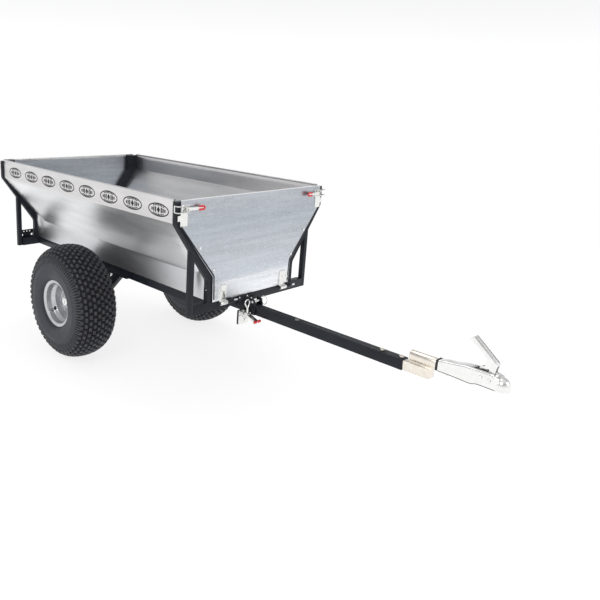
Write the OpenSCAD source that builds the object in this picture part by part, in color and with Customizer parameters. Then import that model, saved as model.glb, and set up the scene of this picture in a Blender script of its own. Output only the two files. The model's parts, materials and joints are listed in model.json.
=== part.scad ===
// Two-wheeled tipping trailer: sheet-metal tub on a welded frame, square drawbar,
// swivelling ball coupler, two drop-down end gates and five draw latches.
// +X runs forward along the drawbar, +Y to the trailer's left, +Z up. Units are mm.
// The origin is on the ground, under the middle of the whole trailer.

/* [Tub] */
// Length over the two end gates
tub_length = 1473; // [1200:1:1800]
// Width over the upright bands at the top
tub_top_width = 887; // [760:1:1000]
// Width over the lower side walls
tub_bottom_width = 500; // [440:1:560]
// Height of the rim above the ground
rim_height = 905; // [860:1:980]
// Height of the upright band under the rim
band_height = 96; // [70:1:120]
// Height of the sloping part of the side walls
slope_height = 244; // [200:1:280]
// Height of the floor's underside above the ground
floor_height = 460; // [440:1:480]
// Thickness of the tub's sheet metal
sheet_thickness = 2; // [1.2:0.1:3]

/* [Frame] */
// Height of the frame tubes
frame_tube = 40; // [36:1:44]
// Width of the frame tubes
frame_width = 30; // [24:1:34]
// Wall of the frame tubes
frame_wall = 2.5; // [2:0.1:4]
// Depth of a corner rib along the trailer
rib_depth = 25; // [20:1:30]
// Width of a corner rib across the trailer
rib_width = 75; // [60:1:84]
// Size of the square corner posts
post_size = 22; // [18:1:26]
// Width over the corner posts
post_spread = 740; // [660:1:780]

/* [Wheels] */
// Outside diameter of the tyres
tyre_diameter = 560; // [500:1:600]
// Section width of the tyres
tyre_width = 215; // [180:1:225]
// Diameter over the rim flanges
rim_diameter = 230; // [220:1:240]
// Distance between the wheel centres
wheel_track = 832; // [800:1:880]
// Distance of the axle behind the middle of the tub
axle_setback = 79; // [40:1:140]
// Diameter of the stub axles
axle_diameter = 30; // [26:1:34]

/* [Drawbar] */
// Outside size of the square drawbar tube
drawbar_size = 40; // [38:1:50]
// Height of the drawbar's top face above the ground
drawbar_top = 406; // [400:1:410]
// Length of the drawbar ahead of the front gate
drawbar_reach = 760; // [600:1:900]
// Wall of the drawbar tube
drawbar_wall = 2.4; // [2:0.1:4]

/* [Coupler] */
// Diameter of the tow ball that the coupler takes
ball_diameter = 50; // [48:0.1:52]
// Height of the swivel axis above the ground
swivel_height = 430; // [426:1:436]
// Diameter of the swivel shaft
swivel_diameter = 26; // [22:1:28]

/* [Hidden] */
$fn = 64;

// clearances
running_gap = 0.05;
seat_gap = 0.3;
gate_gap = 1;

// tub
half_length = tub_length / 2;
half_top = tub_top_width / 2;
half_bottom = tub_bottom_width / 2;
band_foot = rim_height - band_height;
slope_foot = band_foot - slope_height;
floor_top = floor_height + sheet_thickness;
gate_outer = half_length;
gate_inner = gate_outer - sheet_thickness;
frame_end = gate_inner - gate_gap;
hem_height = 8;
hem_width = 10;
rib_top = rim_height - hem_height;

// frame
beam_bottom = floor_height - frame_tube;
beam_back = frame_end - frame_width;
half_spread = post_spread / 2;
rail_outer = half_bottom - sheet_thickness - 0.5;
rail_inner = rail_outer - frame_width;
rail_end = beam_back;
rib_back = frame_end - rib_depth;
rib_proud = 7.5;
rib_out_top = half_top + rib_proud;
rib_out_low = half_bottom + 21;
rib_slope_top = band_foot - 3;
rib_slope_low = slope_foot - 10;
rib_in_top = rib_out_top - rib_width;
rib_in_low = rib_out_low - rib_width;
rib_wall = 2.5;
rib_hole_radius = 6;
rib_hole_height = floor_height + 52;
post_inner = half_spread - post_size;
bearer_width = 30;
bearer_height = 26;
bearer_spacing = 360;

// wheels
wheel_x = -axle_setback;
wheel_z = tyre_diameter / 2;
half_track = wheel_track / 2;
half_tyre = tyre_width / 2;
axle_radius = axle_diameter / 2;
bead_radius = rim_diameter / 2 - 13;
flange_radius = rim_diameter / 2;
rim_half = 91;
rim_wall = 3;
drop_radius = bead_radius - 15;
disc_place = 14;
hub_radius = 28;
hub_inboard = 48;
hub_outboard = 36;
axle_end_gap = 4;
cap_radius = 22.5;
cap_length = 10;
valve_radius = 4;
valve_seat = [drop_radius - rim_wall + 7.5, rim_half - 40];
valve_tilt = 43;
valve_rise = 0.35;
valve_angle = 145;
strut_width = 44;
strut_reach = 142;
strut_wall = 3;
pivot_wall = 4;

// drawbar
bar_half = drawbar_size / 2;
bar_bottom = drawbar_top - drawbar_size;
bar_middle = drawbar_top - bar_half;
bar_front = gate_outer + drawbar_reach;
pivot_z = bar_middle;
sleeve_radius = 21;
sleeve_half = 32;
bar_rear = wheel_x + sleeve_radius + 0.5;
bar_bore = drawbar_size - 2 * drawbar_wall;
block_size = bar_bore - 0.2;
block_wall = 4;
block_front = bar_front + 104;
block_rear = bar_front - 110;
clamp_places = [bar_front - 95, bar_front - 16];
clamp_radius = 5;
clamp_hole = 5.2;
stop_hole_place = bar_front - 500;
stop_hole_radius = 6;
pivot_cheek = 6;

// coupler
housing_radius = 19;
housing_rear = bar_front + 21;
housing_front = housing_rear + 100;
shaft_radius = swivel_diameter / 2;
ball_radius = ball_diameter / 2;
socket_radius = ball_radius + 0.2;
dome_radius = ball_radius + 4;
coupler_rear = housing_front + 2;
ball_x = coupler_rear + 218;
ball_z = swivel_height + 2;
nose_x = ball_x + dome_radius;
shell_wall = 3;
cam_x = ball_x - 34;
cam_z = ball_z + 11;
jaw_x = ball_x - 61;
jaw_z = ball_z + 13;
pivot_radius = 4;

// gates and their hinges
hinge_x = gate_outer + 10;
hinge_z = floor_height - 12;
pin_radius = 5;
eye_radius = 9;
strap_width = 40;
strap_thick = 5;
strap_top = floor_height + 65;
strap_places = [-188, 195];
barrel_length = 38;
gate_half_top = half_top - 13;
gate_half_low = half_bottom - 4;
gate_bottom = floor_height - 2;
gate_top = rim_height - 2;

// corner latches, measured from the gate's outer face and the tub's middle
latch_z = rim_height - 36;
latch_pivot_y = gate_half_top - 18;
latch_pivot_out = 13;
link_throw = 12;
link_back = 2;
wire_radius = 2.5;
wire_spread = 12.5;
loop_bar_gap = 0.6;
loop_bar_y = rib_out_top + loop_bar_gap + wire_radius;
loop_bar_x = frame_end - 8;
grip_length = 40;
grip_width = 22;
grip_thick = 9;
lever_length = 61;

// tip latch on the drawbar
tip_y = -bar_half - 25;
tip_base_x = gate_outer + 8.5;
tip_base_thick = 4;
tip_base_left = tip_y - 39;
tip_base_right = tip_y + 18;
tip_base_low = bar_bottom - 41;
tip_base_high = drawbar_top - 17;
tip_pivot_x = tip_base_x + 10;
tip_pivot_z = bar_bottom - 6;
tip_link_x = tip_pivot_x + 3;
tip_link_z = tip_pivot_z + 12;
tip_loop_lean = 6;
tip_loop_reach = beam_bottom + 18 - tip_link_z;
tip_loop_radius = 14.5;
tip_wire = 3.5;

// the whole trailer's middle
rear_reach = gate_outer + latch_pivot_out + grip_thick / 2 + 3;
middle_x = (nose_x - rear_reach) / 2;

galvanised = [0.72, 0.74, 0.76];
zinc = [0.80, 0.80, 0.78];
black = [0.10, 0.10, 0.11];
rubber = [0.14, 0.14, 0.15];
silver = [0.66, 0.67, 0.69];
red = [0.78, 0.10, 0.12];

// ---- general shapes ----
module span(x0, x1, y0, y1, z0, z1) {
  translate([x0, y0, z0]) cube([x1 - x0, y1 - y0, z1 - z0]);
}

module rod_x(x0, x1, y, z, r) {
  translate([x0, y, z]) rotate([0, 90, 0]) cylinder(r = r, h = x1 - x0);
}

module rod_y(y0, y1, x, z, r) {
  translate([x, y1, z]) rotate([90, 0, 0]) cylinder(r = r, h = y1 - y0);
}

module rod_z(z0, z1, x, y, r) {
  translate([x, y, z0]) cylinder(r = r, h = z1 - z0);
}

// a profile drawn across the trailer (y, z), running from x0 to x1
module across(x0, x1, points) {
  translate([x0, 0, 0]) rotate([90, 0, 90]) linear_extrude(x1 - x0) polygon(points);
}

// a profile drawn along the trailer (x, z), running from y0 to y1
module along(y0, y1, points) {
  translate([0, y1, 0]) rotate([90, 0, 0]) linear_extrude(y1 - y0) polygon(points);
}

module flip_x(on) {
  if (on) mirror([1, 0, 0]) children();
  else children();
}

module flip_y(on) {
  if (on) mirror([0, 1, 0]) children();
  else children();
}

module both_sides() {
  children();
  mirror([0, 1, 0]) children();
}

module both_ends() {
  children();
  mirror([1, 0, 0]) children();
}

// everything is drawn about the tub's middle and then moved to the common origin
module placed() {
  translate([-middle_x, 0, 0]) children();
}

// ---- frame ----
module rail() {
  difference() {
    span(-rail_end, rail_end, rail_inner, rail_outer, beam_bottom, floor_height);
    span(-rail_end - 1, rail_end + 1, rail_inner + frame_wall, rail_outer - frame_wall,
      beam_bottom + frame_wall, floor_height - frame_wall);
  }
}

module frame_rails() {
  color(black) placed() both_sides() rail();
}

module beam() {
  difference() {
    span(beam_back, frame_end, -post_inner, post_inner, beam_bottom, floor_height);
    span(beam_back + frame_wall, frame_end - frame_wall, -post_inner - 1, post_inner + 1,
      beam_bottom + frame_wall, floor_height - frame_wall);
  }
}

module front_crossbeam() {
  color(black) placed() beam();
}

module rear_crossbeam() {
  color(black) placed() mirror([1, 0, 0]) beam();
}

module bearer(x) {
  difference() {
    span(x - bearer_width / 2, x + bearer_width / 2, -rail_inner, rail_inner,
      floor_height - bearer_height, floor_height);
    span(x - bearer_width / 2 + frame_wall, x + bearer_width / 2 - frame_wall,
      -rail_inner - 1, rail_inner + 1,
      floor_height - bearer_height + frame_wall, floor_height - frame_wall);
  }
}

module floor_bearers() {
  color(black) placed() {
    bearer(wheel_x - bearer_spacing);
    bearer(wheel_x);
    bearer(wheel_x + bearer_spacing);
  }
}

rib_line = [
  [rib_out_top, rib_top], [rib_out_top, rib_slope_top], [rib_out_low, rib_slope_low],
  [rib_out_low, floor_height], [rib_in_low, floor_height], [rib_in_low, rib_slope_low],
  [rib_in_top, rib_slope_top], [rib_in_top, rib_top]
];
rib_hollow = [
  [rib_out_top - rib_wall, rib_top - rib_wall],
  [rib_out_top - rib_wall, rib_slope_top + rib_wall / 2],
  [rib_out_low - rib_wall, rib_slope_low + rib_wall / 2],
  [rib_out_low - rib_wall, floor_height - 1],
  [rib_in_low + rib_wall, floor_height - 1],
  [rib_in_low + rib_wall, rib_slope_low - rib_wall / 2],
  [rib_in_top + rib_wall, rib_slope_top - rib_wall / 2],
  [rib_in_top + rib_wall, rib_top - rib_wall]
];

module rib() {
  difference() {
    across(rib_back, frame_end, rib_line);
    across(rib_back + rib_wall, frame_end - rib_wall, rib_hollow);
    rod_y(rib_out_low - 2 * rib_wall, rib_out_low + 1, rib_back + rib_depth / 2,
      rib_hole_height, rib_hole_radius);
  }
}

module rib_front_left() {
  color(black) placed() rib();
}

module rib_front_right() {
  color(black) placed() mirror([0, 1, 0]) rib();
}

module rib_rear_left() {
  color(black) placed() mirror([1, 0, 0]) rib();
}

module rib_rear_right() {
  color(black) placed() mirror([1, 0, 0]) mirror([0, 1, 0]) rib();
}

function rib_height_at(y) = rib_slope_low + (y - rib_out_low)
  * (rib_slope_top - rib_slope_low) / (rib_out_top - rib_out_low);

module post() {
  post_line = [
    [post_inner, beam_bottom], [half_spread, beam_bottom],
    [half_spread, rib_height_at(half_spread)], [post_inner, rib_height_at(post_inner)]
  ];
  post_hollow = [
    [post_inner + frame_wall, beam_bottom - 1], [half_spread - frame_wall, beam_bottom - 1],
    [half_spread - frame_wall, rib_height_at(half_spread) + 1],
    [post_inner + frame_wall, rib_height_at(post_inner) + 1]
  ];
  difference() {
    across(frame_end - post_size, frame_end, post_line);
    across(frame_end - post_size + frame_wall, frame_end - frame_wall, post_hollow);
  }
}

module front_posts() {
  color(black) placed() both_sides() post();
}

module rear_posts() {
  color(black) placed() mirror([1, 0, 0]) both_sides() post();
}

// ---- tub ----
lap = 4;
skin_line = [
  [half_top, rim_height], [half_top, band_foot], [half_bottom, slope_foot],
  [half_bottom, floor_height - lap], [half_bottom - sheet_thickness, floor_height - lap],
  [half_bottom - sheet_thickness, slope_foot + sheet_thickness / 2],
  [half_top - sheet_thickness, band_foot + sheet_thickness / 2],
  [half_top - sheet_thickness, rim_height]
];

module side_skin() {
  difference() {
    across(-rib_back, rib_back, skin_line);
    both_ends()
      span(beam_back - seat_gap, rib_back + 1, half_bottom - sheet_thickness - 1,
        half_bottom + 1, floor_height - lap - 1, floor_height);
  }
  difference() {
    span(-frame_end, frame_end, half_top + 2 - hem_width, half_top + 2, rib_top, rim_height);
    span(-rib_back, rib_back, half_top + 2 - hem_width + sheet_thickness,
      half_top - sheet_thickness, rib_top - 1, rim_height - sheet_thickness);
  }
}

module side_sheet_left() {
  color(galvanised) placed() side_skin();
}

module side_sheet_right() {
  color(galvanised) placed() mirror([0, 1, 0]) side_skin();
}

module floor_sheet() {
  color(galvanised) placed()
    span(-rib_back, rib_back, -half_bottom + sheet_thickness, half_bottom - sheet_thickness,
      floor_height, floor_top);
}

plate_thick = 3;
plate_height = 43;
light_hole = 5.5;
light_small = 3.2;
light_middle = (rib_out_low + post_inner) / 2;
light_spacing = 58;
light_small_spacing = 18;

module light_plate() {
  difference() {
    span(-frame_end, -frame_end + plate_thick, rib_out_low, post_inner,
      floor_height, floor_height + plate_height);
    for (side = [-1, 1])
      rod_x(-frame_end - 1, -frame_end + plate_thick + 1,
        light_middle + side * light_spacing / 2, floor_height + 13, light_hole);
    for (step = [-1, 0, 1])
      rod_x(-frame_end - 1, -frame_end + plate_thick + 1,
        light_middle + step * light_small_spacing, floor_height + 33, light_small);
  }
}

module light_plates() {
  color(black) placed() both_sides() light_plate();
}

// ---- axle ----
leg_rise = beam_bottom - wheel_z;
leg_run = strut_reach;
leg_half = strut_width / 2;

function leg_line(half, low, high) = [
  [wheel_x + low * leg_run - half, wheel_z + low * leg_rise],
  [wheel_x + high * leg_run - half, wheel_z + high * leg_rise],
  [wheel_x + high * leg_run + half, wheel_z + high * leg_rise],
  [wheel_x + low * leg_run + half, wheel_z + low * leg_rise]
];
leg_spread = leg_half * 1.33;
upright_half = 42;
upright_thick = 8;
foot_reach = leg_run + leg_spread + 48;
foot_thick = 8;

module both_legs() {
  children();
  translate([2 * wheel_x, 0, 0]) mirror([1, 0, 0]) children();
}

module axle_foot() {
  difference() {
    union() {
      both_legs() along(rail_inner, rail_outer, leg_line(leg_spread, 0, 1));
      rod_y(rail_inner, rail_outer, wheel_x, wheel_z, leg_spread);
      span(wheel_x - upright_half, wheel_x + upright_half, rail_inner,
        rail_inner + upright_thick, wheel_z, beam_bottom);
      span(wheel_x - foot_reach, wheel_x + foot_reach, rail_inner, rail_outer,
        beam_bottom - foot_thick, beam_bottom);
    }
    both_legs()
      along(rail_inner + strut_wall, rail_outer - strut_wall,
        leg_line(leg_spread - strut_wall * 1.33, 0.3, 1.02));
    rod_y(rail_inner - 1, rail_outer + 1, wheel_x, wheel_z, axle_radius + running_gap);
    rod_y(rail_inner - 1, rail_outer + 1, wheel_x, pivot_z, axle_radius + running_gap);
  }
}

module axle_struts() {
  color(black) placed() both_sides() axle_foot();
}

module stub_axles() {
  color(silver) placed() both_sides()
    rod_y(rail_inner, half_track + hub_outboard - axle_end_gap, wheel_x, wheel_z, axle_radius);
}

module pivot_tube() {
  reach = rail_inner + upright_thick;
  color(silver) placed() difference() {
    rod_y(-reach, reach, wheel_x, pivot_z, axle_radius);
    rod_y(-reach - 1, reach + 1, wheel_x, pivot_z, axle_radius - pivot_wall);
  }
}

// ---- gate hinges on the frame ----
module barrel(place) {
  start = place + strap_width / 2 + 0.5;
  difference() {
    union() {
      rod_y(start, start + barrel_length, hinge_x, hinge_z, eye_radius);
      span(frame_end, hinge_x, start, start + barrel_length, hinge_z - eye_radius, hinge_z);
    }
    rod_y(start - 1, start + barrel_length + 1, hinge_x, hinge_z, pin_radius + running_gap);
  }
}

module hinge_barrels() {
  color(black) placed() both_ends() {
    barrel(strap_places[0]);
    barrel(strap_places[1]);
  }
}

catch_left = 11;
catch_right = tip_y - 45;
catch_top = hinge_z + 6;
catch_bolts = [catch_right + 7, catch_right + 55];
catch_lip = 8;
catch_lip_half = 8;

module tip_catch() {
  color(black) placed() difference() {
    union() {
      span(frame_end, frame_end + 5, catch_right, catch_left, beam_bottom + 1, catch_top);
      span(frame_end + 5, frame_end + 5 + catch_lip, tip_y - catch_lip_half,
        tip_y + catch_lip_half, beam_bottom + 1, beam_bottom + 6);
    }
    for (y = catch_bolts)
      rod_x(frame_end - 1, frame_end + 6, y, catch_top - 6, 4 + running_gap);
    rod_x(frame_end - 1, frame_end + 6, catch_left - 21, catch_top - 26, 6 + running_gap);
  }
}

head_radius = 7;
head_height = 5;
bolt_places = [-290, 153, 288];

module frame_bolts() {
  color(zinc) placed() {
    both_sides()
      for (x = bolt_places)
        rod_y(rail_outer, rail_outer + head_height, x, beam_bottom + 20, head_radius);
    for (y = catch_bolts)
      rod_x(frame_end, frame_end + 5 + 3, y, catch_top - 6, 4);
    rod_x(frame_end, frame_end + 5, catch_left - 21, catch_top - 26, 6);
    rod_x(frame_end + 5, frame_end + 5 + 6, catch_left - 21, catch_top - 26, 10);
  }
}

// ---- gates ----
gate_line = [
  [-gate_half_top, gate_top], [-gate_half_top - 3, band_foot - 4], [-gate_half_low, slope_foot + 4],
  [-gate_half_low + 4, gate_bottom], [gate_half_low - 4, gate_bottom],
  [gate_half_low, slope_foot + 4], [gate_half_top + 3, band_foot - 4], [gate_half_top, gate_top]
];
gate_bolt_places = [[327, 702], [246, 597], [226, 494]];
gate_bolt_radius = 6;
gate_bolt_height = 4;

module gate_panel() {
  across(gate_inner, gate_outer, gate_line);
  span(gate_inner - 9, gate_inner, -rib_in_top + 4, rib_in_top - 4, gate_top - 12, gate_top);
}

module front_gate_panel() {
  color(galvanised) placed() gate_panel();
}

module rear_gate_panel() {
  color(galvanised) placed() mirror([1, 0, 0]) gate_panel();
}

module strap(place) {
  half = strap_width / 2;
  span(gate_outer, gate_outer + strap_thick, place - half, place + half, hinge_z, strap_top);
  rod_y(place - half, place + half, hinge_x, hinge_z, eye_radius);
  span(gate_outer + 1, hinge_x, place - half, place + half, hinge_z, hinge_z + eye_radius);
  rod_y(place + half - 1, place + half + barrel_length + 24, hinge_x, hinge_z, pin_radius);
  rod_x(gate_outer, gate_outer + strap_thick + gate_bolt_height, place, strap_top - 26,
    gate_bolt_radius);
}

module gate_hinges() {
  strap(strap_places[0]);
  strap(strap_places[1]);
  for (side = [-1, 1], spot = gate_bolt_places)
    rod_x(gate_outer, gate_outer + gate_bolt_height, side * spot[0], spot[1], gate_bolt_radius);
}

module front_gate_hinges() {
  color(zinc) placed() gate_hinges();
}

module rear_gate_hinges() {
  color(zinc) placed() mirror([1, 0, 0]) gate_hinges();
}

// ---- corner latches ----
latch_ear = 7;
ear_thick = 2;
latch_x = gate_outer + latch_pivot_out;
link_y = latch_pivot_y - link_throw;
link_x = latch_x - link_back;
base_thick = 2.5;
locator_low = 800;
locator_high = 856;

module latch_base() {
  difference() {
    union() {
      span(gate_outer, gate_outer + base_thick, latch_pivot_y - 22, gate_half_top - 1,
        latch_z - 17, latch_z + 17);
      for (side = [-1, 1])
        span(gate_outer + base_thick, latch_x + 5, latch_pivot_y - 5, latch_pivot_y + 6,
          latch_z + side * (latch_ear + ear_thick / 2) - ear_thick / 2,
          latch_z + side * (latch_ear + ear_thick / 2) + ear_thick / 2);
      span(gate_outer, gate_outer + base_thick, gate_half_top - 33, gate_half_top + 3,
        locator_low, locator_high);
      span(gate_outer, gate_outer + base_thick, gate_half_top + 3, rib_out_top - 4,
        locator_low + 22, locator_high - 12);
    }
    rod_z(latch_z - 20, latch_z + 20, latch_x, latch_pivot_y, 2.5 + running_gap);
  }
}

module front_latch_bases() {
  color(zinc) placed() both_sides() latch_base();
}

module rear_latch_bases() {
  color(zinc) placed() mirror([1, 0, 0]) both_sides() latch_base();
}

cheek_half = latch_ear - 1;
lever_end = latch_pivot_y - lever_length;
tongue = 26;

module lever() {
  difference() {
    union() {
      for (side = [-1, 1])
        span(link_x - 4, latch_x + 4, lever_end, latch_pivot_y + 5,
          latch_z + side * (cheek_half - 1) - 1, latch_z + side * (cheek_half - 1) + 1);
      span(latch_x + 2, latch_x + 4, lever_end, latch_pivot_y - 8,
        latch_z - cheek_half, latch_z + cheek_half);
      span(latch_x + 2, latch_x + 4, lever_end - tongue, lever_end,
        latch_z - cheek_half, latch_z + cheek_half);
      rod_z(latch_z - latch_ear - ear_thick - 0.8, latch_z + latch_ear + ear_thick + 0.8,
        latch_x, latch_pivot_y, 2.5);
    }
    rod_z(latch_z - 20, latch_z + 20, link_x, link_y, wire_radius - 0.5 + running_gap);
  }
}

module grip() {
  y0 = lever_end - grip_length;
  y1 = lever_end;
  x0 = latch_x + 3 - grip_thick / 2;
  x1 = x0 + grip_thick;
  difference() {
    union() {
      span(x0, x1, y0 + grip_width / 2, y1, latch_z - grip_width / 2, latch_z + grip_width / 2);
      rod_x(x0, x1, y0 + grip_width / 2, latch_z, grip_width / 2);
    }
    span(latch_x + 2, latch_x + 4, lever_end - tongue, lever_end + 1,
      latch_z - cheek_half, latch_z + cheek_half);
    span(x0 - 1, x1 + 1, y0 + 5, y0 + 9, latch_z - 5, latch_z + 5);
  }
}

module loop() {
  reach = [for (side = [-1, 1]) latch_z + side * wire_spread];
  for (z = reach) {
    rod_y(link_y, loop_bar_y, link_x, z, wire_radius);
    rod_x(loop_bar_x, link_x, loop_bar_y, z, wire_radius);
    translate([link_x, loop_bar_y, z]) sphere(r = wire_radius);
    translate([link_x, link_y, z]) sphere(r = wire_radius);
    translate([loop_bar_x, loop_bar_y, z]) sphere(r = wire_radius);
  }
  rod_z(latch_z - wire_spread, latch_z + wire_spread, loop_bar_x, loop_bar_y, wire_radius);
  rod_z(latch_z - wire_spread, latch_z + wire_spread, link_x, link_y, wire_radius - 0.5);
}

module at_corner(rear, right) {
  placed() flip_x(rear) flip_y(right) children();
}

module lever_front_left() {
  color(zinc) at_corner(false, false) lever();
}

module grip_front_left() {
  color(red) at_corner(false, false) grip();
}

module loop_front_left() {
  color(zinc) at_corner(false, false) loop();
}

module lever_front_right() {
  color(zinc) at_corner(false, true) lever();
}

module grip_front_right() {
  color(red) at_corner(false, true) grip();
}

module loop_front_right() {
  color(zinc) at_corner(false, true) loop();
}

module lever_rear_left() {
  color(zinc) at_corner(true, false) lever();
}

module grip_rear_left() {
  color(red) at_corner(true, false) grip();
}

module loop_rear_left() {
  color(zinc) at_corner(true, false) loop();
}

module lever_rear_right() {
  color(zinc) at_corner(true, true) lever();
}

module grip_rear_right() {
  color(red) at_corner(true, true) grip();
}

module loop_rear_right() {
  color(zinc) at_corner(true, true) loop();
}

// ---- wheels: drawn with the axis along +Z and the outboard side up ----
bead_gap = 0.5;
tyre_bead = bead_radius + bead_gap;
bead_face = rim_half - rim_wall;
tyre_radius = tyre_diameter / 2;
tyre_line = [
  [tyre_bead, bead_face], [flange_radius + 1, bead_face], [flange_radius + 3, rim_half + 3],
  [tyre_bead + 45, half_tyre - 3],
  [tyre_bead + 80, half_tyre], [tyre_radius - 52, half_tyre - 4], [tyre_radius - 24, half_tyre - 14],
  [tyre_radius - 8, half_tyre - 32], [tyre_radius - 1, half_tyre - 62], [tyre_radius, 0],
  [tyre_radius - 1, -half_tyre + 62], [tyre_radius - 8, -half_tyre + 32],
  [tyre_radius - 24, -half_tyre + 14], [tyre_radius - 52, -half_tyre + 4],
  [tyre_bead + 80, -half_tyre], [tyre_bead + 45, -half_tyre + 3],
  [flange_radius + 3, -rim_half - 3], [flange_radius + 1, -bead_face], [tyre_bead, -bead_face],
  [tyre_bead, -rim_half + 18], [tyre_bead + 30, -half_tyre + 22],
  [tyre_bead + 78, -half_tyre + 14], [tyre_radius - 60, -half_tyre + 20],
  [tyre_radius - 36, -half_tyre + 40], [tyre_radius - 24, -half_tyre + 66],
  [tyre_radius - 22, 0], [tyre_radius - 24, half_tyre - 66],
  [tyre_radius - 36, half_tyre - 40], [tyre_radius - 60, half_tyre - 20],
  [tyre_bead + 78, half_tyre - 14], [tyre_bead + 30, half_tyre - 22],
  [tyre_bead, rim_half - 18]
];

module tyre() {
  rotate_extrude() polygon(tyre_line);
}

rim_line = [
  [flange_radius, rim_half], [flange_radius, rim_half - rim_wall],
  [bead_radius, rim_half - rim_wall], [bead_radius, rim_half - 32],
  [drop_radius, rim_half - 46], [drop_radius, -rim_half + 46],
  [bead_radius, -rim_half + 32], [bead_radius, -rim_half + rim_wall],
  [flange_radius, -rim_half + rim_wall], [flange_radius, -rim_half],
  [bead_radius - rim_wall, -rim_half], [bead_radius - rim_wall, -rim_half + 33],
  [drop_radius - rim_wall, -rim_half + 47], [drop_radius - rim_wall, rim_half - 47],
  [bead_radius - rim_wall, rim_half - 33], [bead_radius - rim_wall, rim_half]
];
disc_line = [
  [hub_radius, disc_place - 4], [hub_radius, disc_place], [hub_radius + 18, disc_place],
  [hub_radius + 30, disc_place - 8], [drop_radius - rim_wall, disc_place - 8],
  [drop_radius - rim_wall, disc_place - 12], [hub_radius + 29, disc_place - 12],
  [hub_radius + 17, disc_place - 4]
];

module on_valve_seat() {
  rotate([0, 0, valve_angle]) translate([valve_seat[0], 0, valve_seat[1]])
    rotate([0, -valve_tilt, 0]) children();
}

module rim() {
  difference() {
    union() {
      rotate_extrude() polygon(rim_line);
      rotate_extrude() polygon(disc_line);
    }
    on_valve_seat() translate([0, 0, -6]) cylinder(r = valve_radius + 0.2, h = 12);
  }
}

module hub() {
  difference() {
    translate([0, 0, -hub_inboard]) cylinder(r = hub_radius, h = hub_inboard + hub_outboard);
    translate([0, 0, -hub_inboard - 1])
      cylinder(r = axle_radius + running_gap, h = hub_inboard + hub_outboard + 2);
  }
}

module hub_cap() {
  translate([0, 0, hub_outboard]) cylinder(r = cap_radius, h = cap_length - 3);
  translate([0, 0, hub_outboard + cap_length - 3])
    cylinder(r1 = cap_radius, r2 = cap_radius - 6, h = 3);
}

module valve() {
  on_valve_seat() translate([0, 0, valve_rise]) {
    cylinder(r = valve_radius + 5, h = 2);
    translate([0, 0, -4]) cylinder(r = valve_radius, h = 22);
    cylinder(r = valve_radius - 1, h = 27);
  }
}

module at_wheel(right) {
  placed() flip_y(right) translate([wheel_x, half_track, wheel_z]) rotate([-90, 0, 0]) children();
}

module tyre_left() {
  color(rubber) at_wheel(false) tyre();
}

module rim_left() {
  color(silver) at_wheel(false) rim();
}

module hub_left() {
  color(silver) at_wheel(false) hub();
}

module hub_cap_left() {
  color(zinc) at_wheel(false) hub_cap();
}

module valve_left() {
  color(rubber) at_wheel(false) valve();
}

module tyre_right() {
  color(rubber) at_wheel(true) tyre();
}

module rim_right() {
  color(silver) at_wheel(true) rim();
}

module hub_right() {
  color(silver) at_wheel(true) hub();
}

module hub_cap_right() {
  color(zinc) at_wheel(true) hub_cap();
}

module valve_right() {
  color(rubber) at_wheel(true) valve();
}

// ---- drawbar ----
module drawbar_tube() {
  color(black) placed() difference() {
    span(bar_rear, bar_front, -bar_half, bar_half, bar_bottom, drawbar_top);
    span(bar_rear - 1, bar_front + 1, -bar_half + drawbar_wall, bar_half - drawbar_wall,
      bar_bottom + drawbar_wall, drawbar_top - drawbar_wall);
    for (x = clamp_places)
      rod_z(bar_bottom - 1, drawbar_top + 1, x, 0, clamp_hole);
    rod_z(bar_bottom - 1, drawbar_top + 1, stop_hole_place, 0, stop_hole_radius);
  }
}

module drawbar_pivot() {
  color(black) placed() difference() {
    union() {
      for (side = [0, 1])
        flip_y(side == 1)
          span(wheel_x, wheel_x + 90, bar_half, bar_half + pivot_cheek, bar_bottom, drawbar_top);
      rod_y(-sleeve_half, sleeve_half, wheel_x, pivot_z, sleeve_radius);
    }
    rod_y(-sleeve_half - 1, sleeve_half + 1, wheel_x, pivot_z, axle_radius + running_gap);
  }
}

ear_inner = bar_half;
ear_outer = bar_half + 6;
ear_rear = frame_end + 13;
ear_front = ear_rear + 34;
ear_top = hinge_z - 12;
pin_x = ear_rear + 17;
pin_z = ear_top - 13;
pin_size = 6;
bracket_depth = 10;

module tip_bracket() {
  ear_line = [
    [ear_rear, bar_bottom], [ear_front, bar_bottom], [ear_front, drawbar_top + 6],
    [pin_x + 11, ear_top - 5], [pin_x + 5, ear_top], [ear_rear, ear_top]
  ];
  color(black) placed() difference() {
    union() {
      for (side = [0, 1])
        flip_y(side == 1) along(ear_inner, ear_outer, ear_line);
      span(beam_back + 4, frame_end - 2, -bar_half, bar_half, drawbar_top,
        beam_bottom - seat_gap);
      span(tip_base_x - tip_base_thick - bracket_depth, tip_base_x - tip_base_thick,
        tip_base_left, tip_base_right, tip_base_low, tip_base_high);
      span(tip_base_x - tip_base_thick - bracket_depth, tip_base_x - tip_base_thick,
        tip_base_right, -bar_half, bar_bottom, tip_base_high);
    }
    rod_y(-ear_outer - 1, ear_outer + 1, pin_x, pin_z, pin_size + running_gap);
  }
}

module saddle_pin() {
  color(zinc) placed() {
    rod_y(-ear_outer + 0.5, ear_outer + 12, pin_x, pin_z, pin_size);
    translate([pin_x + 14, ear_outer + 8, pin_z + 2]) rotate([90, 0, 0])
      rotate_extrude() translate([19, 0]) circle(r = 1.5);
  }
}

// ---- tip latch ----
tip_cheek = 12;
tip_plate = 2;
tip_ear_gap = 1.5;
tip_hex_z = tip_pivot_z - 20;
tip_hex_radius = 8;
tip_grip_half = 28;
tip_grip_radius = 7;

// a profile drawn from the lever's pivot (x, z), running across from y0 to y1
module from_pivot(y0, y1, points) {
  translate([tip_pivot_x, 0, tip_pivot_z]) along(tip_y + y0, tip_y + y1, points);
}

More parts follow.
